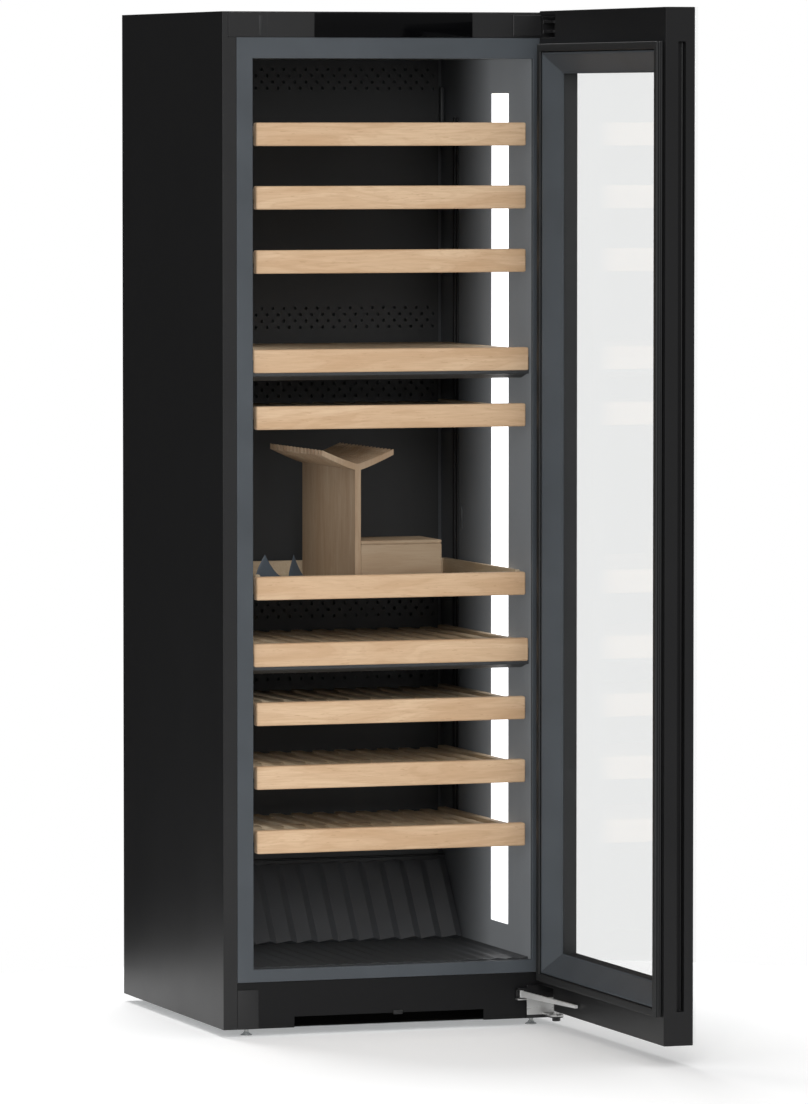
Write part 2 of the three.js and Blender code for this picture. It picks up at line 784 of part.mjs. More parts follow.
add('door_outer_glass', block(freeEdge, hingeEdge, outerFace, outerFace + outerPane, doorBottom, doorTop),
  clearGlass, door);

const [paneLow, , paneHigh] = doorRectangle(gasketWidth + bezelWidth + bezelLip - paneOverlap);
add('door_inner_glass', block(paneLow[0], paneHigh[0], paneDepth, paneDepth + innerPane, paneLow[1],
  paneHigh[1]), clearGlass, door);

// The bezel stands proud beside the gasket and slopes down to the glass on all four sides.
function bezel() {
  const outer = gasketWidth + 2 * clearance;
  const inner = gasketWidth + bezelWidth;
  const bottom = paneDepth + innerPane + clearance;
  const ring = extrude('y', doorRectangle(outer), bottom, innerFace + bezelRise,
    [doorRectangle(inner + bezelLip)]);
  return surface(solid(ring).subtract(solid(bezelHollow(outer + 1, inner))));
}

// A frustum that cuts the slope: wide above the raised edge, narrow at the fall.
function bezelHollow(wideInset, narrowInset) {
  const slope = (bezelRise + bezelFall) / (narrowInset - wideInset);
  const above = 6;
  const wide = doorRectangle(wideInset - above / slope);
  const narrow = doorRectangle(narrowInset);
  const positions = [];
  for (const [x, z] of narrow) {
    positions.push(x, innerFace - bezelFall, z);
  }
  for (const [x, z] of wide) {
    positions.push(x, innerFace + bezelRise + above, z);
  }
  const faces = [
    0, 1, 2, 0, 2, 3,
    4, 6, 5, 4, 7, 6,
  ];
  for (let i = 0; i < 4; i += 1) {
    const j = (i + 1) % 4;
    faces.push(i, i + 4, j + 4, i, j + 4, j);
  }
  const geometry = new THREE.BufferGeometry();
  geometry.setAttribute('position', new THREE.Float32BufferAttribute(positions, 3));
  geometry.setIndex(faces);
  return geometry;
}
add('door_bezel', bezel(), frameGray, door);

const gasketFace = innerFace + doorGap - gasketGap;
add('door_gasket', extrude('y', doorRectangle(0), innerFace + clearance, gasketFace,
  [doorRectangle(gasketWidth)]), rubber, door);

// ---- placing -------------------------------------------------------------------------------
// The origin is the middle of the whole object's footprint, at the floor.
cooler.updateMatrixWorld(true);
const bounds = new THREE.Box3().setFromObject(cooler, true);
const middle = bounds.getCenter(new THREE.Vector3());
cooler.position.set(-middle.x, -middle.y, -bounds.min.z);

export default cooler;
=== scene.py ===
import json
import math

import bmesh
import bpy
import numpy as np
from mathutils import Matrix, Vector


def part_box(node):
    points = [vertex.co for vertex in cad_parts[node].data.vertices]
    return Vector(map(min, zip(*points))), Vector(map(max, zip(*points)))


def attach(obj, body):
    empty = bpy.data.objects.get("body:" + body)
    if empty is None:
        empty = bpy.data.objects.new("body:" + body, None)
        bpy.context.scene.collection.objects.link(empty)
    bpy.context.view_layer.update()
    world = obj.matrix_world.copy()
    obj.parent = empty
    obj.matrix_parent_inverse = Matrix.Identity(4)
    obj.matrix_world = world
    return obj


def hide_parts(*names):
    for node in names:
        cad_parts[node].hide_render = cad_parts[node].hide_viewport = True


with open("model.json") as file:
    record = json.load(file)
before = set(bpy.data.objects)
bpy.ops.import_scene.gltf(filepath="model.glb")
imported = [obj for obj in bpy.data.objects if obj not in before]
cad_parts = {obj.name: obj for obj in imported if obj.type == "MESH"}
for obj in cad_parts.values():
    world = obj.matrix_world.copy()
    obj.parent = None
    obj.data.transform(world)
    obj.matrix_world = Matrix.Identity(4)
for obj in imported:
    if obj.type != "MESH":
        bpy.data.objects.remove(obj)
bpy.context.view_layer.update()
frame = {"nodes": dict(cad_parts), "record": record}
record = frame["record"]
slotOf = {row["node"]: row["material_slot"] for row in record["subparts"]}
bodyOf = {node: body for body, nodes in record["behaviour"]["bodies"].items() for node in nodes}


def corners(node):  # lowest and highest corner of a CAD node
    low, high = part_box(node)
    return np.array(low), np.array(high)


print("camera and studio")
cameraRig = {
    "place": (-4.1144, -12.0826, 1.5249),
    "yaw": 18.836,  # degrees, turned from straight at the cabinet towards its right
    "pitch": 3.271,  # degrees, looking down
    "lens": 253.18,
    "clipEnd": 100,
}


def makeCamera(rig):
    data = bpy.data.cameras.new("camera")
    data.lens = rig["lens"]
    data.clip_end = rig["clipEnd"]
    camera = bpy.data.objects.new("camera", data)
    camera.location = rig["place"]
    camera.rotation_euler = (math.radians(90 - rig["pitch"]), 0, math.radians(-rig["yaw"]))
    bpy.context.scene.collection.objects.link(camera)
    bpy.context.scene.camera = camera


makeCamera(cameraRig)


class Wire:  # the value of a socket; arithmetic on it adds Math nodes
    def __init__(self, shader, socket):
        self.shader = shader
        self.socket = socket

    def math(self, operation, *values):
        return self.shader.node("ShaderNodeMath", {"operation": operation}, dict(enumerate(values)))

    def __add__(self, other):
        return self.math("ADD", self, other)

    def __radd__(self, other):
        return self.math("ADD", other, self)

    def __sub__(self, other):
        return self.math("SUBTRACT", self, other)

    def __rsub__(self, other):
        return self.math("SUBTRACT", other, self)

    def __mul__(self, other):
        return self.math("MULTIPLY", self, other)

    def __rmul__(self, other):
        return self.math("MULTIPLY", other, self)


class Shader:
    def __init__(self, name, holder=None):
        self.material = holder or bpy.data.materials.new(name)
        self.material.use_nodes = True
        self.tree = self.material.node_tree
        self.tree.nodes.clear()
        self.place = self.node("ShaderNodeTexCoord", output="Object")

    def node(self, kind, settings=(), inputs=(), output=0):
        made = self.tree.nodes.new(kind)
        for name, value in dict(settings).items():
            setattr(made, name, value)
        for name, value in dict(inputs).items():
            if isinstance(value, Wire):
                self.tree.links.new(value.socket, made.inputs[name])
            else:
                made.inputs[name].default_value = value
        return Wire(self, made.outputs[output]) if len(made.outputs) else None

    def noise(self, scale, detail=2.0, stretch=(1, 1, 1), distortion=0.0, roughness=0.5):
        spot = self.node("ShaderNodeMapping", {}, {"Vector": self.place, "Scale": stretch})
        return self.node("ShaderNodeTexNoise", {}, {
            "Vector": spot, "Scale": scale, "Detail": detail, "Roughness": roughness,
            "Distortion": distortion,
        })

    def between(self, value, fromLow, fromHigh, toLow=0.0, toHigh=1.0):  # clamped, straight line
        return self.node("ShaderNodeMapRange", {}, {
            "Value": value, "From Min": fromLow, "From Max": fromHigh, "To Min": toLow, "To Max": toHigh,
        })

    def along(self, vector, axis):  # one coordinate of a vector
        way = tuple(float(index == axis) for index in range(3))
        return self.node("ShaderNodeVectorMath", {"operation": "DOT_PRODUCT"}, {0: vector, 1: way}, "Value")

    def blend(self, share, first, second):  # colours; share 0 gives the first
        ends = {0: share, 6: first if isinstance(first, Wire) else (*first, 1)}
        ends[7] = second if isinstance(second, Wire) else (*second, 1)
        return self.node("ShaderNodeMix", {"data_type": "RGBA"}, ends, output=2)

    def bump(self, height, depth, strength=1.0):
        return self.node("ShaderNodeBump", {}, {"Height": height, "Distance": depth, "Strength": strength})

    def solid(self, sockets):
        inputs = {key: (*value, 1) if isinstance(value, tuple) else value for key, value in sockets.items()}
        shade = self.node("ShaderNodeBsdfPrincipled", {}, inputs)
        self.node("ShaderNodeOutputMaterial", {}, {"Surface": shade})
        return self.material


def tone(red, green, blue):  # screen values 0-255 to linear light
    values = np.array((red, green, blue)) / 255
    linear = np.where(values < 0.04045, values / 12.92, ((values + 0.055) / 1.055) ** 2.4)
    return tuple(float(value) for value in linear)


studio = {
    "front": (-0.4, 0.45),  # the Y of a direction, from full light in front to the least behind
    "rearShare": 0.08,
    "height": (0.0, 0.7),  # the Z of a direction
    "level": (0.5, 0.9),  # light at floor height and overhead
    "floorTone": (0.9, 0.9, 0.9),
    "floorGlow": 0.24,
    "floorReach": 1.45,
    "floorMiddle": (0.0, -0.35, 0.0),
    "lamps": {  # place, size, watts
        "overhead": ((-0.3, 2.8, 6.5), 3.0, 290),
        "key": ((-1.6, -5.0, 2.6), 2.4, 95),
    },
    "aim": (0.0, 0.2, 0.8),
}


def makeStudio(rig):
    # a white background; the light on the object is strong in front and above, weak behind
    scene = bpy.context.scene
    scene.view_settings.view_transform = "Standard"
    scene.world = bpy.data.worlds.new("studio")
    s = Shader("studio", scene.world)
    way = s.node("ShaderNodeTexCoord", output="Generated")
    fromFront = s.between(s.along(way, 1), *rig["front"], 1.0, rig["rearShare"])
    level = s.between(s.along(way, 2), *rig["height"], *rig["level"])
    seen = s.node("ShaderNodeLightPath", output="Is Camera Ray")
    strength = seen + (1.0 - seen) * (fromFront * level)
    light = s.node("ShaderNodeBackground", {}, {"Color": (1.0, 1.0, 1.0, 1.0), "Strength": strength})
    s.node("ShaderNodeOutputWorld", {}, {"Surface": light})
    for name, (place, size, watts) in rig["lamps"].items():
        data = bpy.data.lights.new(name, "AREA")
        data.shape = "DISK"
        data.size = size
        data.energy = watts
        lamp = bpy.data.objects.new(name, data)
        lamp.location = place
        aim = np.array(rig["aim"]) - np.array(place)
        yaw = math.atan2(aim[0], aim[1])
        tilt = math.atan2(math.hypot(aim[0], aim[1]), -aim[2])
        lamp.rotation_euler = (tilt, 0, -yaw)
        scene.collection.objects.link(lamp)


def makeFloor(rig):
    s = Shader("studio_floor")
    cloud = s.between(s.noise(2, 2), 0.3, 0.7)
    s.solid({
        "Base Color": s.blend(cloud, rig["floorTone"], tuple(0.98 * value for value in rig["floorTone"])),
        "Roughness": 0.9, "Specular IOR Level": 0.1, "Emission Color": (1.0, 1.0, 1.0),
        "Emission Strength": rig["floorGlow"],
    })
    angles = np.linspace(0, 2 * math.pi, 96, endpoint=False)
    rim = np.column_stack([np.cos(angles), np.sin(angles), 0 * angles]) * rig["floorReach"]
    rim = rim + rig["floorMiddle"]
    mesh = bpy.data.meshes.new("studio_floor")
    mesh.from_pydata(rim.tolist(), [], [list(range(len(rim)))])
    mesh.materials.append(s.material)
    floor = bpy.data.objects.new("studio_floor", mesh)
    bpy.context.scene.collection.objects.link(floor)


makeStudio(studio)
makeFloor(studio)


print("finishes")


def powderCoat(name, base, roughness, speck, level=0.42):
    s = Shader(name)
    patches = s.noise(7, 3)
    grain = s.noise(speck, 2)
    dust = s.between(s.noise(260, 1), 0.66, 0.74)
    colour = s.blend(s.between(patches, 0.3, 0.7), base, tuple(1.1 * value for value in base))
    colour = s.blend(dust * 0.2, colour, tuple(2.0 * value for value in base))
    return s.solid({
        "Base Color": colour, "Roughness": s.between(patches, 0.25, 0.75, roughness - 0.02, roughness + 0.03),
        "Normal": s.bump(grain, 0.00012, 0.45), "Specular IOR Level": level,
    })


def moulded(name, base, roughness, speck, depth=0.0002, level=0.5):
    s = Shader(name)
    grain = s.noise(speck, 3, roughness=0.6)
    cloud = s.noise(9, 2)
    colour = s.blend(s.between(cloud, 0.25, 0.75), tuple(0.88 * value for value in base),
                     tuple(1.12 * value for value in base))
    return s.solid({
        "Base Color": colour, "Roughness": s.between(grain, 0.3, 0.7, roughness - 0.05, roughness + 0.07),
        "Normal": s.bump(grain, depth, 0.5), "Specular IOR Level": level,
    })


def spangled(name, base):
    s = Shader(name)
    cell = s.node("ShaderNodeTexVoronoi", {}, {"Vector": s.place, "Scale": 70.0}, output=1)
    shade = s.node("ShaderNodeSeparateColor", {}, {"Color": cell})
    film = s.noise(5, 3)
    colour = s.blend(s.between(shade, 0, 1), tuple(0.8 * value for value in base), base)
    rough = s.between(shade, 0, 1, 0.34, 0.5) + s.between(film, 0.3, 0.7, 0, 0.08)
    return s.solid({
        "Base Color": colour, "Roughness": rough, "Metallic": 0.9,
    })


def bright(name, base, roughness, metallic=1.0):
    s = Shader(name)
    brushed = s.noise(60, 3, (1, 1, 14))
    smear = s.noise(30, 2)
    return s.solid({
        "Base Color": s.blend(s.between(smear, 0.3, 0.7), tuple(0.9 * value for value in base), base),
        "Roughness": s.between(brushed, 0.3, 0.7, roughness - 0.04, roughness + 0.08), "Metallic": metallic,
        "Normal": s.bump(brushed, 0.00005, 0.3),
    })


def oiledBeech(name, along, shade=(1.0, 1.0, 1.0)):
    # along is 0 where the grain runs in X, 1 in Y and 2 in Z
    # shade scales every colour; below 1 it is painted shade, a darker copy of the same beech for parts that
    # sit in shade inside the cabinet
    def shadedTone(red, green, blue):
        return tuple(value * part for value, part in zip(tone(red, green, blue), shade))

    s = Shader(name)
    slow = [1.0 if axis == along else 7.0 for axis in range(3)]
    fine = [1.0 if axis == along else 16.0 for axis in range(3)]
    figure = s.noise(4.2, 3, slow, 0.9)
    wave = s.node("ShaderNodeMath", {"operation": "SINE"}, {0: figure * 46})
    fibre = s.noise(22, 4, fine, 0.2, 0.62)
    streak = s.noise(58, 2, [1.0 if axis == along else 9.0 for axis in range(3)])
    ray = s.between(streak, 0.66, 0.72)
    warm = s.between(figure, 0.32, 0.68)
    colour = s.blend(warm, shadedTone(228, 197, 162), shadedTone(208, 172, 135))
    colour = s.blend(s.between(wave, 0.2, 1.0) * 0.22, colour, shadedTone(195, 157, 120))
    colour = s.blend(s.between(fibre, 0.42, 0.66) * 0.3, colour, shadedTone(190, 153, 118))
    colour = s.blend(ray * 0.4, colour, shadedTone(176, 134, 98))
    rough = s.between(fibre, 0.3, 0.7, 0.5, 0.64)
    return s.solid({
        "Base Color": colour, "Roughness": rough, "Normal": s.bump(fibre, 0.00025, 0.35),
        "Specular IOR Level": 0.35,
    })


def litDiffuser(name):
    s = Shader(name)
    dots = s.noise(3, 1)
    glow = s.blend(s.between(dots, 0.2, 0.8), (0.94, 0.96, 1.0), (1.0, 1.0, 1.0))
    return s.solid({
        "Base Color": (0.9, 0.9, 0.9), "Emission Color": glow, "Emission Strength": 1.7,
        "Roughness": s.between(s.noise(300, 1), 0.3, 0.7, 0.35, 0.5),
    })


def paintedGlowWall(name, base, low, high, reach, glow):
    # a moulded wall with painted light: its emission stands in for the light strip's light on the wall,
    # glowing beside the strip between low and high and fading over reach behind it and over a third of that
    # in front
    s = Shader(name)
    grain = s.noise(700, 3, roughness=0.6)
    y = s.along(s.place, 1)
    behind = s.between(y, high, high + reach, 1.0, 0.0)
    front = s.between(y, low - reach, low, 0.8, 1.0)
    share = behind * behind * front
    cloud = s.noise(9, 2)
    return s.solid({
        "Base Color": s.blend(s.between(cloud, 0.25, 0.75), tuple(0.9 * value for value in base),
                              tuple(1.1 * value for value in base)),
        "Roughness": s.between(grain, 0.3, 0.7, 0.38, 0.5), "Normal": s.bump(grain, 0.00015, 0.5),
        "Emission Color": s.blend(share, (0.0, 0.0, 0.0), glow), "Emission Strength": 1.0,
    })


def rearWallPaintedGlow(name, base, left, reach, glow):
    # a dark moulded wall with painted light near its left edge: emission standing in for the left strip's
    # light on the wall
    s = Shader(name)
    grain = s.noise(700, 3, roughness=0.6)
    share = s.between(s.along(s.place, 0), left, left + reach, 1.0, 0.0)
    cloud = s.noise(6, 2)
    return s.solid({
        "Base Color": s.blend(s.between(cloud, 0.25, 0.75), tuple(0.85 * value for value in base), base),
        "Roughness": s.between(grain, 0.3, 0.7, 0.42, 0.54), "Normal": s.bump(grain, 0.0002, 0.5),
        "Emission Color": s.blend(share * share, (0.0, 0.0, 0.0), glow), "Emission Strength": 1.0,
    })


def capped(name, capTone, levels, metal):
    # plated steel between the two levels, black plastic under and over it
    s = Shader(name)
    brushed = s.noise(60, 3, (1, 1, 14))
    z = s.along(s.place, 2)
    cap = s.between(z, levels[1], levels[1] + 0.0004) + s.between(z, levels[0], levels[0] + 0.0004, 1, 0)
    return s.solid({
        "Base Color": s.blend(cap, metal, capTone), "Metallic": s.between(cap, 0, 1, 0.7, 0.0),
        "Roughness": s.between(brushed, 0.3, 0.7, 0.26, 0.42), "Normal": s.bump(brushed, 0.00005, 0.3),
    })


def pane(name, tint):
    s = Shader(name)
    smear = s.between(s.noise(4, 3), 0.35, 0.75, 0.0, 0.012)
    film = s.node("ShaderNodeBsdfTransparent", {}, {"Color": (*tint, 1)})
    gloss = s.node("ShaderNodeBsdfPrincipled", {}, {
        "Base Color": (0.92, 0.94, 0.94, 1), "Roughness": 0.02 + smear, "Metallic": 1.0,
    })
    facing = s.node("ShaderNodeLayerWeight", {}, {"Blend": 0.5}, "Facing")
    share = 0.012 + 0.09 * (facing * facing * facing)
    mixed = s.node("ShaderNodeMixShader", {}, {0: share, 1: film, 2: gloss})
    s.node("ShaderNodeOutputMaterial", {}, {"Surface": mixed})
    return s.material


finishes = {
    "black_steel": powderCoat("satin_black", tone(22, 22, 23), 0.38, 900, 0.45),
    "door_black": powderCoat("door_black", tone(19, 19, 20), 0.38, 900, 0.28),
    "galvanised": spangled("galvanised", (0.46, 0.48, 0.49)),
    "foam": moulded("rigid_foam", tone(222, 204, 148), 0.9, 400, 0.0006),
    "liner_gray": moulded("liner_gray", tone(74, 77, 80), 0.42, 700, 0.00015),
    "frame_gray": moulded("frame_gray", tone(74, 79, 84), 0.44, 800, 0.00012, 0.32),
    "black_glass": powderCoat("display_black", tone(5, 5, 6), 0.08, 40, 0.1),
    "chrome": bright("bright_nickel", (0.82, 0.82, 0.81), 0.24),
    "hinge_steel": powderCoat("hinge_black", tone(22, 22, 23), 0.4, 500),
    "beech": oiledBeech("beech_crosswise", 0),
    "dark_plastic": moulded("dark_plastic", tone(20, 20, 21), 0.5, 600),
    "compressor_black": powderCoat("black_enamel", tone(14, 14, 15), 0.25, 300),
    "light_panel": litDiffuser("lit_diffuser"),
    "rubber": moulded("gasket_rubber", tone(24, 25, 26), 0.62, 1200, 0.0001),
    "slate": powderCoat("slate_blue", tone(66, 76, 86), 0.42, 700),
    "clear_glass": pane("clear_glass", (0.984, 0.986, 0.985)),
}
# painted shade: the slats, tray, cradle and box are the boards' beech darkened for the shade inside the
# cabinet
beechDeep = oiledBeech("painted_shade_beech_front_to_back", 1, (0.7, 0.8, 0.88))
beechUpright = oiledBeech("painted_shade_beech_upright", 2, (0.48, 0.5, 0.52))
beechBox = oiledBeech("painted_shade_beech_crosswise", 0, (0.46, 0.49, 0.51))
stepGray = moulded("step_gray", tone(54, 56, 58), 0.45, 700)
ribGray = moulded("rib_gray", tone(76, 78, 81), 0.4, 700)
wallBlack = moulded("wall_black", tone(26, 27, 28), 0.45, 700)
kickBlack = powderCoat("kick_black", tone(17, 17, 18), 0.5, 700, 0.2)
# partly painted shade: the near-black of the shadowed inlet recess
recessBlack = moulded("recess_black", tone(8, 8, 8), 0.8, 700, level=0.1)


# A shell is its points, its four-sided faces and its end faces.
def loft(rings, loop=False):
    # rings[i, j] is point j of station i; neighbouring stations are joined, the ends are closed flat,
    # or joined to each other where the path is a loop
    rings = np.asarray(rings, float)
    stations, count = rings.shape[:2]
    grid = np.arange(stations * count).reshape(stations, count)
    rows = np.vstack([grid, grid[:1]]) if loop else grid
    columns = np.hstack([rows, rows[:, :1]])
    quads = np.stack([columns[:-1, :-1], columns[:-1, 1:], columns[1:, 1:], columns[1:, :-1]], -1)
    caps = [] if loop else [grid[0][::-1].tolist(), grid[-1].tolist()]
    return rings.reshape(-1, 3), quads.reshape(-1, 4), caps


def bar(low, high, axis, radius, steps=3):
    # a rectangle with quarter circles at its corners, carried along the axis; towards each end the
    # corner circles shrink as radius * sin(angle) while the station moves radius * (1 - cos(angle))
    low, high = np.minimum(low, high), np.maximum(low, high)
    middle, size = (low + high) / 2, high - low
    first, second = ((1, 2), (2, 0), (0, 1))[axis]
    signs = np.repeat([[1, 1], [-1, 1], [-1, -1], [1, -1]], steps + 1, axis=0)
    centres = signs * (np.array([size[first], size[second]]) / 2 - radius)
    turns = (np.arange(4)[:, None] * math.pi / 2 + np.linspace(0, math.pi / 2, steps + 1)).ravel()
    rays = np.stack([np.cos(turns), np.sin(turns)], -1)
    angles = np.linspace(0.15, 1, steps + 1) * math.pi / 2
    spread = np.concatenate([np.sin(angles), np.sin(angles)[::-1]]) * radius
    inset = radius * (1 - np.cos(angles))
    along = np.concatenate([low[axis] + inset, (high[axis] - inset)[::-1]])
    rings = np.zeros((len(along), len(rays), 3))
    section = centres + rays * spread[:, None, None]
    rings[..., first] = middle[first] + section[..., 0]
    rings[..., second] = middle[second] + section[..., 1]
    rings[..., axis] = along[:, None]
    return loft(rings)


def turnedShell(profile, centre, axis=2, sides=40):
    # each (radius, height) pair of the profile becomes a circle about the axis
    profile = np.asarray(profile, float)
    angles = np.arange(sides) / sides * 2 * math.pi
    first, second = ((1, 2), (2, 0), (0, 1))[axis]
    rings = np.zeros((len(profile), sides, 3))
    rings[..., first] = centre[first] + profile[:, :1] * np.cos(angles)
    rings[..., second] = centre[second] + profile[:, :1] * np.sin(angles)
    rings[..., axis] = centre[axis] + profile[:, 1:]
    return loft(rings)


def rounded(points, rounds=2):
    # a closed outline with each corner replaced by the points a quarter along its two sides
    points = np.asarray(points, float)
    for _ in range(rounds):
        following = np.roll(points, -1, axis=0)
        points = np.stack([0.75 * points + 0.25 * following, 0.25 * points + 0.75 * following], 1)
        points = points.reshape(-1, 2)
    return points


def border(section, low, high, face, outward=-1.0):
    # (inset, rise) pairs of a section carried round the rectangle low-high in Y and Z, mitred at its
    # four corners; the rise is measured from the face along X
    section = np.asarray(section, float)
    inset, rise = section[:, 0], section[:, 1]
    rings = np.zeros((4, len(section), 3))
    rings[..., 0] = face + outward * rise
    for index, (right, top) in enumerate(((0, 0), (1, 0), (1, 1), (0, 1))):
        rings[index, :, 1] = high[0] - inset if right else low[0] + inset
        rings[index, :, 2] = high[1] - inset if top else low[1] + inset
    return loft(rings, loop=True)


def piece(name, body, shells, material, replaces=(), sharp=35):
    points, quads, caps, start = [], [], [], 0
    for shellPoints, shellQuads, shellCaps in shells:
        points.append(shellPoints)
        quads.append(shellQuads + start)
        caps += [[index + start for index in cap] for cap in shellCaps]
        start += len(shellPoints)
    mesh = bpy.data.meshes.new(name)
    mesh.from_pydata(np.vstack(points).tolist(), [], np.vstack(quads).tolist() + caps)
    mesh.materials.append(material)
    made = bpy.data.objects.new(name, mesh)
    bpy.context.scene.collection.objects.link(made)
    faceOut(mesh)
    mesh.shade_smooth()
    mesh.set_sharp_from_angle(angle=math.radians(sharp))
    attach(made, body)
    if replaces:
        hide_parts(*replaces)
    return made


def faceOut(mesh):
    work = bmesh.new()
    work.from_mesh(mesh)
    bmesh.ops.recalc_face_normals(work, faces=work.faces)
    work.to_mesh(mesh)
    work.free()


weldGap = 1e-5  # points nearer than this are one point


print("shelves")
shelfStyle = {
    "boardRadius": 0.0032,
    "boardSteps": 5,  # points in each rounded corner of a board
    "slatRadius": 0.0022,
    "slatPitch": 0.0385,
    "slatWidth": 0.021,
    "slatDrop": 0.003,  # the slats' tops under the side rails' tops
    "slatUnder": 0.012,  # the slats' undersides under the side rails' tops
    "sideWidth": 0.016,
    "railDepth": 0.006,  # the cross rails' tops under the side rails' tops
    "railWidth": 0.028,
    "railPlaces": (0.0, 0.5, 1.0),  # from the front of the rack to its rear
}
shelfCount = 10
fixedShelves = (4, 7)
trayShelf = 6
plainDeck = 4  # the shelf whose deck is a closed board


def slatShells(low, high, style):
    # slats from front to back over three cross rails and two side rails
    radius = style["slatRadius"]
    half = style["slatWidth"] / 2
    width = high[0] - low[0]
    count = int((width - 2 * style["slatWidth"]) // style["slatPitch"]) + 1
    spare = (width - (count - 1) * style["slatPitch"]) / 2
    shells = []
    for index in range(count):
        x = low[0] + spare + index * style["slatPitch"]
        slatLow = (x - half, low[1], high[2] - style["slatUnder"])
        slatHigh = (x + half, high[1], high[2] - style["slatDrop"])
        shells.append(bar(slatLow, slatHigh, 1, radius))
    deep = high[1] - low[1] - style["railWidth"]
    for share in style["railPlaces"]:
        y = low[1] + share * deep
        railHigh = (high[0], y + style["railWidth"], high[2] - style["railDepth"])
        shells.append(bar((low[0], y, low[2]), railHigh, 0, radius))
    for x in (low[0], high[0] - style["sideWidth"]):
        sideHigh = (x + style["sideWidth"], high[1], high[2])
        shells.append(bar((x, low[1], low[2]), sideHigh, 1, radius))
    return shells


def makeShelf(number, style):
    board = f"shelf_{number}_board"
    body = bodyOf[board]
    front = bar(*corners(board), 0, style["boardRadius"], style["boardSteps"])
    piece(f"shelf_{number}_front", body, [front], finishes["beech"], [board])
    if number == trayShelf:
        makeTray(body, trayStyle)
        return
    carrier = f"shelf_{number}_deck" if number in fixedShelves else f"shelf_{number}_rack"
    low, high = corners(carrier)
    plain = number == plainDeck
    shells = [bar(low, high, 1, style["slatRadius"])] if plain else slatShells(low, high, style)
    piece(f"shelf_{number}_slats", body, shells, beechDeep, [carrier])


trayStyle = {
    "rim": 0.009,
    "floor": 0.008,
    "floorInset": 0.002,  # the floor's side and rear edges, inside the rims' outer faces
    "floorRadius": 0.0015,
    "rimRadius": 0.002,
    "rearInset": 0.001,  # the rear rim's ends, inside the side rims' outer faces
    "rearLift": 0.0005,
}


def makeTray(body, style):
    low, high = corners("shelf_6_tray")
    rim, radius = style["rim"], style["rimRadius"]
    inset = style["floorInset"]
    floorHigh = (high[0] - inset, high[1] - inset, low[2] + style["floor"])
    rearLow = (low[0] + style["rearInset"], high[1] - rim, low[2] + style["rearLift"])
    shells = [
        bar((low[0] + inset, low[1], low[2]), floorHigh, 0, style["floorRadius"]),
        bar(low, (low[0] + rim, high[1], high[2]), 1, radius),
        bar((high[0] - rim, low[1], low[2]), high, 1, radius),
        bar(rearLow, (high[0] - style["rearInset"], high[1], high[2]), 0, radius),
    ]
    piece("tray_floor_and_rims", body, shells, beechDeep, ["shelf_6_tray"])


for number in range(1, shelfCount + 1):
    makeShelf(number, shelfStyle)


print("presentation stand")
cradleStyle = {
    "grooves": 15,
    "grooveDepth": 0.0052,
    "steps": 8,  # stations in each groove
    "wing": 0.007,
    "notch": 0.013,  # how far each groove bites into the wings' tips
    "arc": 12,  # points along each wing
    "post": 0.005,  # half the thickness of the upright
    "wingFoot": 0.026,  # how far under the highest point the wings leave the upright
    "wingLift": 0.024,
    "crown": 0.002,
}


def makeCradle(style):
    # outline of a Y in X and Z, carried from front to back; the wings' tops sink by grooveDepth times
    # 2.2 - 3 |cos|, held between 0 and 1, across each groove, and their tips draw in by the notch
    low, high = corners("bottle_cradle")
    middle = (low[0] + high[0]) / 2
    reach = (high[0] - low[0]) / 2
    post = style["post"]
    t = np.linspace(0, 1, style["arc"])
    wingLow = high[2] - low[2] - style["wingFoot"]
    lift = style["wingLift"] * t ** 1.15
    top = np.stack([reach * t, wingLow + lift + style["crown"]], -1)
    under = np.stack([post + (reach - post) * t[::-1], wingLow + lift[::-1] - style["wing"]], -1)
    rightSide = np.vstack([top, under, [[post, 0.0]]])
    leftSide = rightSide[::-1] * (-1, 1)
    outline = np.vstack([rightSide, leftSide[:-1]])
    onTop = np.concatenate([np.ones(len(top)), np.zeros(len(under) + 1)])
    onTop = np.concatenate([onTop, onTop[::-1][:-1]])
    stations = style["grooves"] * style["steps"] + 1
    s = np.linspace(0, 1, stations)
    groove = style["grooveDepth"] * np.clip(2.2 - 3 * np.abs(np.cos(math.pi * style["grooves"] * s)), 0, 1)
    rings = np.zeros((stations, len(outline), 3))
    bite = groove[:, None] / style["grooveDepth"] * style["notch"] * np.abs(outline[:, 0] / reach) ** 3
    rings[..., 0] = middle + outline[:, 0] - np.sign(outline[:, 0]) * bite
    rings[..., 1] = (low[1] + (high[1] - low[1]) * s)[:, None]
    rings[..., 2] = low[2] + outline[:, 1] - groove[:, None] * onTop
    piece("cradle_body", bodyOf["bottle_cradle"], [loft(rings)], beechUpright, ["bottle_cradle"], 30)


makeCradle(cradleStyle)


boxStyle = {
    "lid": 0.006,
    "seam": 0.0006,
    "jointInset": 0.0015,  # the joint under the lid, inside the walls
    "jointUnder": 0.003,
    "jointOver": 0.002,
    "bodyRadius": 0.0015,
    "jointRadius": 0.0008,
    "lidRadius": 0.0018,
}


def makeAccessoryBox(style):
    low, high = corners("accessory_box")
    seam = high[2] - style["lid"]
    inset = style["jointInset"]
    jointLow = (low[0] + inset, low[1] + inset, seam - style["jointUnder"])
    jointHigh = (high[0] - inset, high[1] - inset, seam + style["jointOver"])
    shells = [
        bar(low, (high[0], high[1], seam - style["seam"]), 0, style["bodyRadius"]),
        bar(jointLow, jointHigh, 0, style["jointRadius"]),
        bar((low[0], low[1], seam), high, 0, style["lidRadius"]),
    ]
    piece("box_body_and_lid", bodyOf["accessory_box"], shells, beechBox, ["accessory_box"])


makeAccessoryBox(boxStyle)


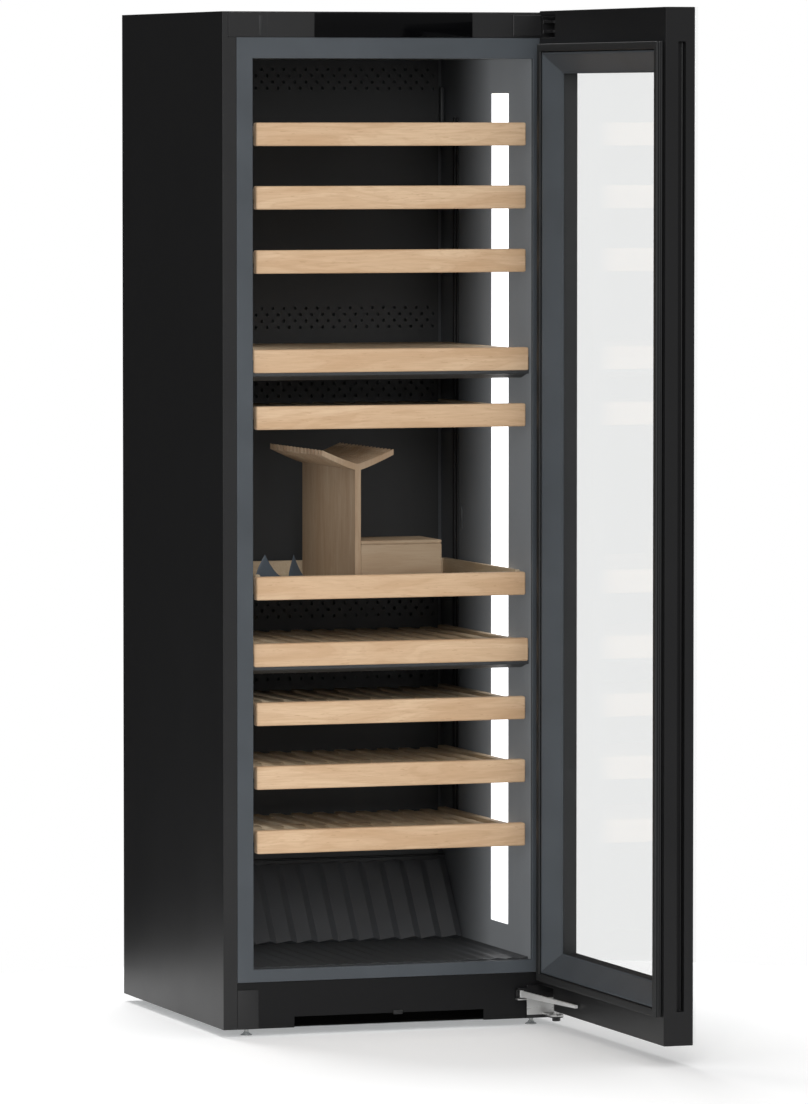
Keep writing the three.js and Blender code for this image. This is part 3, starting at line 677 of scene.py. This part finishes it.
finStyle = {
    "base": 0.046,
    "foot": 0.015,
    "thick": 0.0028,
    "tip": 0.36,  # where the point stands, as a share of the base
    "tipThick": 0.3,  # the point's thickness, as a share of the foot's
    "bow": 0.002,  # how far the plate bulges out of its plane
    "offset": 0.003,  # from the node's corner, along the plate's turn
    "reach": 0.99,  # the share of the outline that is followed to the point
    "levels": 18,
    "sides": 24,
}


def makeFin(node, turn, style):
    # over the foot, with h from 0 to 1, the left edge runs to the tip as tip * h ** 1.5 and the right
    # edge as 1 - (1 - tip) * h ** 0.62; each level's section is a thin lens between the two edges
    low, high = corners(node)
    tall = high[2] - low[2]
    h = np.linspace(0, style["reach"], style["levels"])
    left = style["tip"] * h ** 1.5
    right = 1 - (1 - style["tip"]) * h ** 0.62
    left, right = np.concatenate([[0, 0], left[1:]]), np.concatenate([[1, 1], right[1:]])
    z = low[2] + np.concatenate([[0, style["foot"]], style["foot"] + h[1:] * (tall - style["foot"])])
    angles = np.linspace(0, 2 * math.pi, style["sides"], endpoint=False)
    u = style["base"] * (left[:, None] + (right - left)[:, None] * (1 - np.cos(angles)) / 2)
    slim = style["tipThick"] + (1 - style["tipThick"]) * (right - left)[:, None]
    v = style["thick"] * (0.5 + 0.5 * slim * np.sin(angles))
    v = v + style["bow"] * (z[:, None] - low[2]) / tall * (1 - slim)
    forward = np.array([math.cos(turn), math.sin(turn)])
    sideways = np.array([-math.sin(turn), math.cos(turn)])
    origin = np.array([low[0] + style["offset"] * math.sin(turn), low[1]])
    spots = origin + u[..., None] * forward + v[..., None] * sideways
    rings = np.concatenate([spots, np.broadcast_to(z[:, None, None], (*u.shape, 1))], -1)
    piece(f"{node}_plate", bodyOf[node], [loft(rings)], finishes["slate"], [node], 60)


makeFin("fin_left", 0.0, finStyle)
makeFin("fin_right", math.radians(35), finStyle)


print("interior")
openingLow, openingHigh = corners("liner_shell")
linerWall = 0.0025
floorTop = openingLow[2] + linerWall
headUnder = openingHigh[2] - linerWall
panelLow, panelHigh = corners("air_panel")

airStyle = {
    "pitch": 0.0198,
    "rows": 4,
    "rowPitch": 0.0107,
    "hole": 0.0027,  # radius
    "sides": 16,
    "underHead": 0.032,  # the middle of the top band, under the liner's ceiling
    "over": {4: 0.040, 7: 0.031},  # the middles of the bands over and under each fixed board's top
    "under": {4: 0.077, 7: 0.075},
    # painted light: the rear wall's emission glow near its left edge
    "paintedGlowReach": 0.09,
    "glow": (0.05, 0.052, 0.054),
}


def holeCell(left, bottom, wide, tall, radius, sides):
    # a ring of quads between a circle and the cell's own edge; the edge point at each angle is the
    # circle's direction stretched until its larger part reaches the edge
    angles = (np.arange(sides) / sides) * 2 * math.pi
    rays = np.stack([np.cos(angles), np.sin(angles)], -1)
    reach = rays / np.abs(rays).max(1, keepdims=True)
    centre = np.array([left + wide / 2, bottom + tall / 2])
    outer = centre + reach * (wide / 2, tall / 2)
    inner = centre + rays * radius
    spots = np.vstack([outer, inner])
    ring = np.arange(sides)
    following = (ring + 1) % sides
    return spots, np.stack([ring, following, following + sides, ring + sides], -1)


def makeAirPanel(style):
    centres = [headUnder - style["underHead"]]
    for number in fixedShelves:
        top = corners(f"shelf_{number}_board")[1][2]
        centres += [top + style["over"][number], top - style["under"][number]]
    tall = style["rows"] * style["rowPitch"]
    count = int((panelHigh[0] - panelLow[0]) // style["pitch"])
    edge = (panelHigh[0] - panelLow[0] - count * style["pitch"]) / 2
    points, quads, start = [], [], 0

    def addSheet(spots, faces):
        nonlocal start
        points.append(spots)
        quads.append(faces + start)
        start += len(spots)

    def addPatch(x0, x1, z0, z1):
        addSheet(np.array([[x0, z0], [x1, z0], [x1, z1], [x0, z1]]), np.array([[0, 1, 2, 3]]))

    level = panelLow[2]
    for centre in sorted(centres):
        addPatch(panelLow[0], panelHigh[0], level, centre - tall / 2)
        for row in range(style["rows"]):
            z = centre - tall / 2 + row * style["rowPitch"]
            shift = style["pitch"] / 2 if row % 2 else 0.0
            cells = count - (1 if row % 2 else 0)
            left = panelLow[0] + edge + shift
            addPatch(panelLow[0], left, z, z + style["rowPitch"])
            addPatch(left + cells * style["pitch"], panelHigh[0], z, z + style["rowPitch"])
            for column in range(cells):
                addSheet(*holeCell(left + column * style["pitch"], z, style["pitch"], style["rowPitch"],
                                   style["hole"], style["sides"]))
        level = centre + tall / 2
    addPatch(panelLow[0], panelHigh[0], level, panelHigh[2])
    flat = np.vstack(points)
    spots = np.stack([flat[:, 0], np.full(len(flat), panelLow[1]), flat[:, 1]], -1)
    finish = rearWallPaintedGlow("rear_wall_black", tone(30, 31, 32), panelLow[0], style["paintedGlowReach"], style["glow"])
    made = piece("rear_air_panel", "cabinet", [(spots, np.vstack(quads), [])], finish,
                 ["air_panel"])
    faceForward(made.data)
    wall = made.modifiers.new("wall", "SOLIDIFY")
    wall.thickness = panelHigh[1] - panelLow[1]
    wall.offset = -1


def faceForward(mesh):
    work = bmesh.new()
    work.from_mesh(mesh)
    bmesh.ops.remove_doubles(work, verts=work.verts, dist=weldGap)
    turned = [face for face in work.faces if face.normal.y > 0]
    bmesh.ops.reverse_faces(work, faces=turned)
    work.to_mesh(mesh)
    work.free()
    mesh.shade_flat()


makeAirPanel(airStyle)

stepStyle = {
    "ribs": 13,
    "ribPoints": 8,
    "ribDepth": 0.009,
    "climb": 0.62,  # the share of each rib over which it rises
    "lift": 0.0012,
    "sheet": 0.0025,
    "slope": math.radians(54),
    "run": 0.110,
    "top": 0.124,  # height of the corrugated panel over the floor
    "stations": (0.0, 0.25, 0.5, 0.75, 0.97, 1.0),  # shares of the way up the slope
    "fade": (1.0, 1.0, 1.0, 1.0, 1.0, 0.55),  # the ribs' depth at each station
    "foot": (-0.004, 0.001),  # the panel's lower edge from the knee, in Y and Z
    "sideReach": 0.012,  # how far step and floor reach past the air panel
    "floorRibs": 18,
    "floorPoints": 4,
    "floorRib": 0.0024,
    "floorBase": 0.0003,
    "floorLift": 0.0012,
    "floorGaps": (0.004, 0.003),  # behind the opening, and in front of the knee
    "crest": 0.1343,  # height of the black rail over the floor
    "crestForward": 0.016,
    "crestDeep": 0.006,
    "crestTall": 0.004,
    "crestRadius": 0.0018,
}


def makeStep(style):
    # the front face waves across X as ribDepth times a sawtooth, which climbs over one share of each
    # rib and falls over the rest; it runs straight up the slope, and the rear face is flat
    kneeY = openingHigh[1] - linerWall - style["run"]
    half = (panelHigh[0] - panelLow[0]) / 2 + style["sideReach"]
    middle = (panelLow[0] + panelHigh[0]) / 2
    across = np.linspace(0, 1, style["ribs"] * style["ribPoints"] + 1)
    phase = (across * style["ribs"]) % 1
    climb = style["climb"]
    wave = style["ribDepth"] * np.clip(np.minimum(phase / climb, (1 - phase) / (1 - climb)), 0, 1)
    direction = np.array([math.cos(style["slope"]), math.sin(style["slope"])])
    outward = np.array([-direction[1], direction[0]])
    length = style["top"] / direction[1]
    base = np.array([kneeY, floorTop]) + style["foot"]
    x = middle + (across - 0.5) * 2 * half
    rings = []
    for share, fade in zip(style["stations"], style["fade"]):
        spot = base + direction * share * length
        front = spot + outward * (style["lift"] + style["sheet"] + wave[:, None] * fade)
        back = np.broadcast_to(spot + outward * style["lift"], front.shape)
        rings.append(np.vstack([np.column_stack([x, front]), np.column_stack([x[::-1], back[::-1]])]))
    piece("step_panel", "cabinet", [loft(rings)], ribGray, sharp=50)

    # the floor carries low ribs from front to back, as floorRib * (1 + cos) / 2
    across = np.linspace(0, 1, style["floorRibs"] * style["floorPoints"] + 1)
    wave = style["floorRib"] * (0.5 + 0.5 * np.cos(2 * math.pi * style["floorRibs"] * across))
    x = middle + (across - 0.5) * 2 * half
    top = floorTop + style["floorLift"] + wave
    under = np.full(len(x), floorTop + style["floorBase"])
    rings = []
    for y in (openingLow[1] + style["floorGaps"][0], kneeY - style["floorGaps"][1]):
        deep = np.full(len(x), y)
        upper = np.column_stack([x, deep, top])
        lower = np.column_stack([x[::-1], deep, under])
        rings.append(np.vstack([upper, lower]))
    piece("ribbed_floor", "cabinet", [loft(rings)], stepGray, sharp=50)

    crest = floorTop + style["crest"]
    y = kneeY + (crest - floorTop) / math.tan(style["slope"]) - style["crestForward"]
    railHigh = (middle + half, y + style["crestDeep"], crest + style["crestTall"])
    rail = bar((middle - half, y, crest), railHigh, 0, style["crestRadius"])
    piece("step_rail", "cabinet", [rail], wallBlack)


makeStep(stepStyle)

railStyle = {
    "lobes": 7,
    "lobePoints": 8,
    "lobeDepth": 0.0022,
    "depth": 0.0065,
    "reach": 0.0155,  # from the wall towards the middle
    "gap": 0.0005,  # under the rack
    "uprights": (0.03, 0.012),  # from the runners' rear ends
    "uprightThick": 0.002,
    "uprightDeep": 0.008,
    "uprightRadius": 0.0008,
}


def makeRails(side, style):
    # each runner is a bar from front to back whose underside drops by lobeDepth * |sin| along it
    node = f"shelf_rails_{side}"
    low, high = corners(node)
    sign = -1 if side == "left" else 1
    wall = low[0] if sign < 0 else high[0]
    inner = wall - sign * style["reach"]
    shells = []
    for back in style["uprights"]:
        y = high[1] - back
        far = (wall - sign * style["uprightThick"], y + style["uprightDeep"], high[2])
        shells.append(bar((wall, y, low[2]), far, 2, style["uprightRadius"]))
    s = np.linspace(0, 1, style["lobes"] * style["lobePoints"] + 1)
    drop = style["depth"] + style["lobeDepth"] * np.abs(np.sin(math.pi * style["lobes"] * s))
    for number in range(1, shelfCount + 1):
        if number in fixedShelves:
            continue  # the zone dividers stand in the walls themselves
        carrier = "shelf_6_tray" if number == trayShelf else f"shelf_{number}_rack"
        top = corners(carrier)[0][2] - style["gap"]
        rings = np.zeros((len(s), 4, 3))
        rings[:, :, 0] = (wall, inner, inner, wall)
        rings[:, :, 1] = (low[1] + (high[1] - low[1]) * s)[:, None]
        rings[:, :2, 2] = top
        rings[:, 2:, 2] = (top - drop)[:, None]
        shells.append(loft(rings))
    piece(f"runners_{side}", "cabinet", shells, finishes["dark_plastic"], [node])


makeRails("left", railStyle)
makeRails("right", railStyle)


stripStyle = {
    "bulge": 0.003,
    "stand": 0.001,  # the diffuser's side edges over its foot
    "wall": 0.0004,  # how far the diffuser's foot stands from the liner
    "arc": 14,
    "endRound": 0.004,
    "endSteps": 6,
}


def makeStrip(side, style):
    # the diffuser's section bulges from the wall as bulge * (1 - t ** 4) with t from -1 to 1 across
    # its width; its two ends fall to the wall in a quarter ellipse
    low, high = corners(f"light_panel_{side}")
    sign = 1 if side == "left" else -1
    wall = (low[0] if sign > 0 else high[0]) + sign * style["wall"]
    t = np.linspace(-1, 1, style["arc"])
    middle, half = (low[1] + high[1]) / 2, (high[1] - low[1]) / 2
    ends = np.linspace(0.12, 1, style["endSteps"]) * math.pi / 2
    share = np.concatenate([np.sin(ends), np.sin(ends)[::-1]])
    inset = style["endRound"] * (1 - np.cos(ends))
    z = np.concatenate([low[2] + inset, high[2] - inset[::-1]])
    rings = np.zeros((len(z), 2 * style["arc"], 3))
    rise = style["bulge"] * (1 - t ** 4)
    rings[:, :style["arc"], 0] = wall + sign * (style["stand"] + rise[None, :] * share[:, None])
    rings[:, style["arc"]:, 0] = wall
    rings[..., 1] = middle + half * np.concatenate([t, t[::-1]])
    rings[..., 2] = z[:, None]
    piece(f"strip_diffuser_{side}", "cabinet", [loft(rings)], finishes["light_panel"],
          [f"light_panel_{side}"], 60)


makeStrip("left", stripStyle)
makeStrip("right", stripStyle)


dividerStyle = {
    "nose": 0.0055,  # height of the front face that shows under the board
    "undercut": 0.045,  # how far back the underside reaches its full depth
    "edge": 0.0012,
}


def makeDivider(node, board, style):
    # the front face ends a nose under its board, then the underside falls away towards the rear as
    # (1 - cos) / 2 over the undercut
    low, high = corners(node)
    under = corners(board)[0][2] - style["nose"]
    edge = style["edge"]
    bend = np.linspace(0, math.pi, 12)
    fall = under - (under - low[2]) * (1 - np.cos(bend)) / 2
    back = low[1] + edge + style["undercut"] * bend / math.pi
    section = [(low[1] + edge, high[2]), (low[1], high[2] - edge), (low[1], under + edge)]
    section = np.array(section + list(zip(back, fall)) + [(high[1], low[2]), (high[1], high[2])])
    rings = np.zeros((2, len(section), 3))
    rings[..., 0] = np.array([low[0], high[0]])[:, None]
    rings[..., 1:] = section
    piece(f"{node}_panel", "cabinet", [loft(rings)], stepGray, [node], 40)


makeDivider("zone_divider_upper", "shelf_4_board", dividerStyle)
makeDivider("zone_divider_lower", "shelf_7_board", dividerStyle)


fittingStyle = {
    "slotBack": 0.11,  # from the liner's rear edge
    "slotRise": 0.054,  # over the tray's front board
    "slotOut": 0.0015,
    "slotIn": 0.0004,
    "slotDeep": 0.004,
    "slotTall": 0.038,
    "slotRadius": 0.0007,
    "clipPlate": ((0.003, -0.004, -0.125), (0.010, 0.004, -0.045)),  # from the air panel's top corner
    "clipPlateRadius": 0.0016,
    "clipBand": ((0.001, -0.007, -0.118), (0.012, -0.002, -0.106)),
    "clipBandRadius": 0.0014,
}


def makeWallFittings(style):
    # a slotted sensor cover on the right wall and a cable clip at the rear corner
    wall = corners("liner_right")[0][0]
    y = corners("liner_right")[1][1] - style["slotBack"]
    z = corners(f"shelf_{trayShelf}_board")[1][2] + style["slotRise"]
    slotHigh = (wall + style["slotIn"], y + style["slotDeep"], z + style["slotTall"])
    slot = bar((wall - style["slotOut"], y, z), slotHigh, 2, style["slotRadius"])
    piece("sensor_slot", "cabinet", [slot], finishes["liner_gray"])
    corner = np.array([panelHigh[0], panelLow[1], headUnder])
    shells = [bar(*(corner + style["clipPlate"]), 2, style["clipPlateRadius"]),
              bar(*(corner + style["clipBand"]), 0, style["clipBandRadius"])]
    piece("rear_corner_clip", "cabinet", shells, stepGray)


makeWallFittings(fittingStyle)


print("door")
gasketLow, gasketHigh = corners("door_gasket")
innerFace = gasketHigh[0] + 0.0003  # the door's inner side faces -X while it stands open
doorLow, doorHigh = gasketLow[1:], gasketHigh[1:]

gasketSection = 0.001 * np.array([  # inset and rise in millimetres
    (0.2, 0.3), (12.8, 0.3), (12.8, 2.0), (11.2, 3.0), (12.9, 4.4), (11.0, 6.0), (12.8, 7.4), (12.8, 10.2),
    (11.0, 11.5), (2.0, 11.5), (0.2, 10.2), (0.2, 7.4), (2.0, 6.0), (0.1, 4.4), (1.8, 3.0), (0.2, 2.0),
])
piece("gasket_bellows", "door", [border(rounded(gasketSection), doorLow, doorHigh, innerFace)],
      finishes["rubber"], ["door_gasket"], 50)

bezelSection = 0.001 * np.array([  # inset and rise in millimetres
    (13.7, -42.8), (13.7, 5.9), (14.2, 7.1), (15.2, 7.6), (16.6, 7.3), (18.4, 6.2), (44.6, -14.9),
    (45.8, -16.2), (46.8, -16.8), (48.2, -16.9), (48.9, -17.6), (48.9, -19.0), (47.4, -19.4), (47.4, -42.8),
])
piece("bezel_frame", "door", [border(bezelSection, doorLow, doorHigh, innerFace)], finishes["frame_gray"],
      ["door_bezel"], 40)
spacerSection = 0.001 * np.array([(47.7, -19.6), (48.9, -19.8), (48.9, -42.6), (47.7, -42.6)])
piece("pane_spacer", "door", [border(spacerSection, doorLow, doorHigh, innerFace)], wallBlack)


print("feet and machine parts")
footProfile = 0.001 * np.array([  # radius and height in millimetres: a pad, then a threaded stem
    (9.2, 0.0), (9.9, 0.6), (9.9, 1.6), (9.2, 2.4), (6.4, 4.0), (4.4, 6.4), (3.6, 7.2), (3.9, 7.8),
    (3.5, 8.4), (3.9, 9.0), (3.5, 9.6), (3.9, 10.2), (3.5, 10.8), (3.9, 11.4), (3.5, 12.0), (3.5, 12.6),
])
for node in [name for name in slotOf if name.startswith("foot_")]:
    low, high = corners(node)
    centre = ((low[0] + high[0]) / 2, (low[1] + high[1]) / 2, low[2])
    piece(f"{node}_screw", bodyOf[node], [turnedShell(footProfile, centre)], finishes["chrome"],
          [node])


canStyle = {
    "start": 0.12,  # radians left out at the foot and the crown
    "points": 12,
    "foot": 0.62,  # radii as shares of the can's radius
    "wall": 0.98,
    "footTall": 0.22,  # heights as shares of the can's height
    "shoulder": 0.6,
    "weld": ((0.98, 0.52), (1.0, 0.53), (1.0, 0.56), (0.98, 0.57)),
    "sides": 56,
}


def makeCompressor(style):
    # a domed can: the radius follows quarter ellipses at foot and crown, with a weld ridge between
    low, high = corners("compressor")
    centre = ((low[0] + high[0]) / 2, (low[1] + high[1]) / 2, low[2])
    radius, tall = (high[0] - low[0]) / 2, high[2] - low[2]
    wall, shoulder = style["wall"], style["shoulder"]
    bend = np.linspace(style["start"], math.pi / 2, style["points"])
    wide = style["foot"] + (wall - style["foot"]) * np.sin(bend)
    foot = np.stack([radius * wide, style["footTall"] * tall * (1 - np.cos(bend))], -1)
    weld = np.array(style["weld"]) * (radius, tall)
    turn = bend - style["start"]
    rise = shoulder + (1 - shoulder) * np.sin(turn)
    crown = np.stack([radius * wall * np.cos(turn), tall * rise], -1)
    can = turnedShell(np.vstack([foot, weld, crown]), centre, sides=style["sides"])
    piece("compressor_can", "cabinet", [can], finishes["compressor_black"],
          ["compressor"])


makeCompressor(canStyle)


print("front trim")
plinthLow, plinthHigh = corners("plinth")


panelTrim = {
    "displayRadius": 0.00045,
    "seams": ((0.052, 0.059, 0.004, 0.005), (0.066, 0.067, 0.002, 0.002)),  # left, right, foot, head
    "seamOut": 0.0003,
    "seamIn": 0.0008,
    "seamRadius": 0.0002,
}


def makePanelTrim(style):
    # the display's cover, and seams placed from the head panel's left, lower and upper edges
    cover = bar(*corners("display_glass"), 0, style["displayRadius"])
    piece("display_cover", "cabinet", [cover], finishes["black_glass"], ["display_glass"])
    low, high = corners("control_panel")
    shells = []
    for left, right, foot, head in style["seams"]:
        seamLow = (low[0] + left, low[1] - style["seamOut"], low[2] + foot)
        seamHigh = (low[0] + right, low[1] + style["seamIn"], high[2] - head)
        shells.append(bar(seamLow, seamHigh, 2, style["seamRadius"]))
    piece("panel_seams", "cabinet", shells, wallBlack)


ductStyle = {
    "ends": (0.098, 0.108),  # from the kick plate's left and right ends
    "gap": 0.0006,  # behind the kick plate
    "deep": 0.030,
    "foot": 0.0016,  # from the kick plate's lower edge
    "top": 0.026,
    "floor": 0.001,
    "wall": 0.0015,
    "sideLift": 0.0012,
    "sideGap": 0.0002,
    "floorRadius": 0.0004,
    "wallRadius": 0.0005,
}


def makeInletDuct(style):
    # a dark duct behind the air inlet of the kick plate; its near-black matte finish is partly the duct's own
    # dark colour and partly painted shade for the shadowed recess
    left, right = plinthLow[0] + style["ends"][0], plinthHigh[0] - style["ends"][1]
    front = plinthHigh[1] + style["gap"]
    rear = front + style["deep"]
    low, top = plinthLow[2] + style["foot"], plinthLow[2] + style["top"]
    wall, radius = style["wall"], style["wallRadius"]
    sideLow, sideRear = low + style["sideLift"], rear - style["sideGap"]
    shells = [
        bar((left, front, low), (right, rear, low + style["floor"]), 0, style["floorRadius"]),
        bar((left, rear, low), (right, rear + wall, top), 0, radius),
        bar((left, front, sideLow), (left + wall, sideRear, top), 2, radius),
        bar((right - wall, front, sideLow), (right, sideRear, top), 2, radius),
    ]
    piece("inlet_duct", "cabinet", shells, recessBlack)


kickTrim = {
    "clip": ((0.27, -0.0025, 0.0155), (0.286, 0.001, 0.0225)),  # from the kick plate's low left corner
    "clipRadius": 0.001,
    "cornerWide": 0.036,
    "cornerOut": 0.0012,
    "cornerIn": 0.0006,
    "cornerDrop": 0.012,
    "cornerRadius": 0.0005,
}


def makeKickTrim(style):
    clip = bar(*(plinthLow + style["clip"]), 0, style["clipRadius"])
    piece("inlet_clip", "cabinet", [clip], finishes["dark_plastic"])
    low = (plinthLow[0], plinthLow[1] - style["cornerOut"], plinthLow[2])
    right, top = plinthLow[0] + style["cornerWide"], plinthHigh[2] - style["cornerDrop"]
    corner = bar(low, (right, plinthLow[1] + style["cornerIn"], top), 2, style["cornerRadius"])
    piece("plinth_corner", "cabinet", [corner], finishes["black_steel"])


makePanelTrim(panelTrim)
makeInletDuct(ductStyle)
makeKickTrim(kickTrim)


screwStyle = {
    "head": ((3.6, 0.0), (3.6, 0.5), (3.1, 1.3), (2.0, 1.8), (0.9, 2.0)),  # radius, height in millimetres
    "sides": 16,
    "inset": 0.012,  # from the sheets' edges
    "columns": 5,
    "rows": 6,
    "rowInset": 0.2,
}


def makeRearScrews(style):
    # pan-head screws round the rear sheet and the machine cover
    low, high = corners("back_panel")
    coverLow, coverHigh = corners("machine_cover")
    inset, rowInset = style["inset"], style["rowInset"]
    spots = []
    for x in np.linspace(low[0] + inset, high[0] - inset, style["columns"]):
        for z in (high[2] - inset, low[2] + inset, coverHigh[2] - inset, coverLow[2] + inset):
            spots.append((x, high[1], z))
    for z in np.linspace(low[2] + rowInset, high[2] - rowInset, style["rows"]):
        for x in (low[0] + inset, high[0] - inset):
            spots.append((x, high[1], z))
    head = 0.001 * np.array(style["head"])
    shells = [turnedShell(head, spot, 1, style["sides"]) for spot in spots]
    piece("rear_screws", "cabinet", shells, finishes["chrome"])


makeRearScrews(screwStyle)


print("finishes on the frame")
edgeStyle = {
    "widths": {"clear_glass": 0.0006, "black_steel": 0.0009, "door_black": 0.0014, "chrome": 0.0008,
               "frame_gray": 0.0009, "liner_gray": 0.0006},
    "otherWidth": 0.0005,
    "segments": 2,
    "angle": math.radians(40),
    "flatAngle": math.radians(0.5),
}
stripLow, stripHigh = corners("light_panel_left")
# painted light: the side liners glow by emission beside the light strips, and their base tone is lighter than
# liner_gray
sidePaintedGlow = {
    "reach": 0.2,
    "light": (0.082, 0.086, 0.09),
}
sideGray = paintedGlowWall("side_liner_gray_painted_glow", tone(92, 95, 98), stripLow[1], stripHigh[1], sidePaintedGlow["reach"],
                   sidePaintedGlow["light"])
ownFinish = {
    "liner_left": sideGray, "liner_right": sideGray, "plinth": kickBlack,
    "bottom_hinge_bracket": capped("bracket_steel", tone(20, 20, 21), (0.019, 0.047), (0.6, 0.6, 0.59)),
    "door_stay": bright("satin_plated", (0.82, 0.82, 0.81), 0.42, 0.35),
}
for name, node in frame["nodes"].items():
    if node.hide_render:
        continue
    node.data.materials.clear()
    node.data.materials.append(ownFinish.get(name, finishes[slotOf[name]]))
    merge = node.modifiers.new("merge", "WELD")
    merge.merge_threshold = weldGap
    plain = node.modifiers.new("plain", "DECIMATE")
    plain.decimate_type = "DISSOLVE"
    plain.angle_limit = edgeStyle["flatAngle"]
    edge = node.modifiers.new("edge", "BEVEL")
    edge.width = edgeStyle["widths"].get(slotOf[name], edgeStyle["otherWidth"])
    edge.segments = edgeStyle["segments"]
    edge.limit_method = "ANGLE"
    edge.angle_limit = edgeStyle["angle"]

print("done")
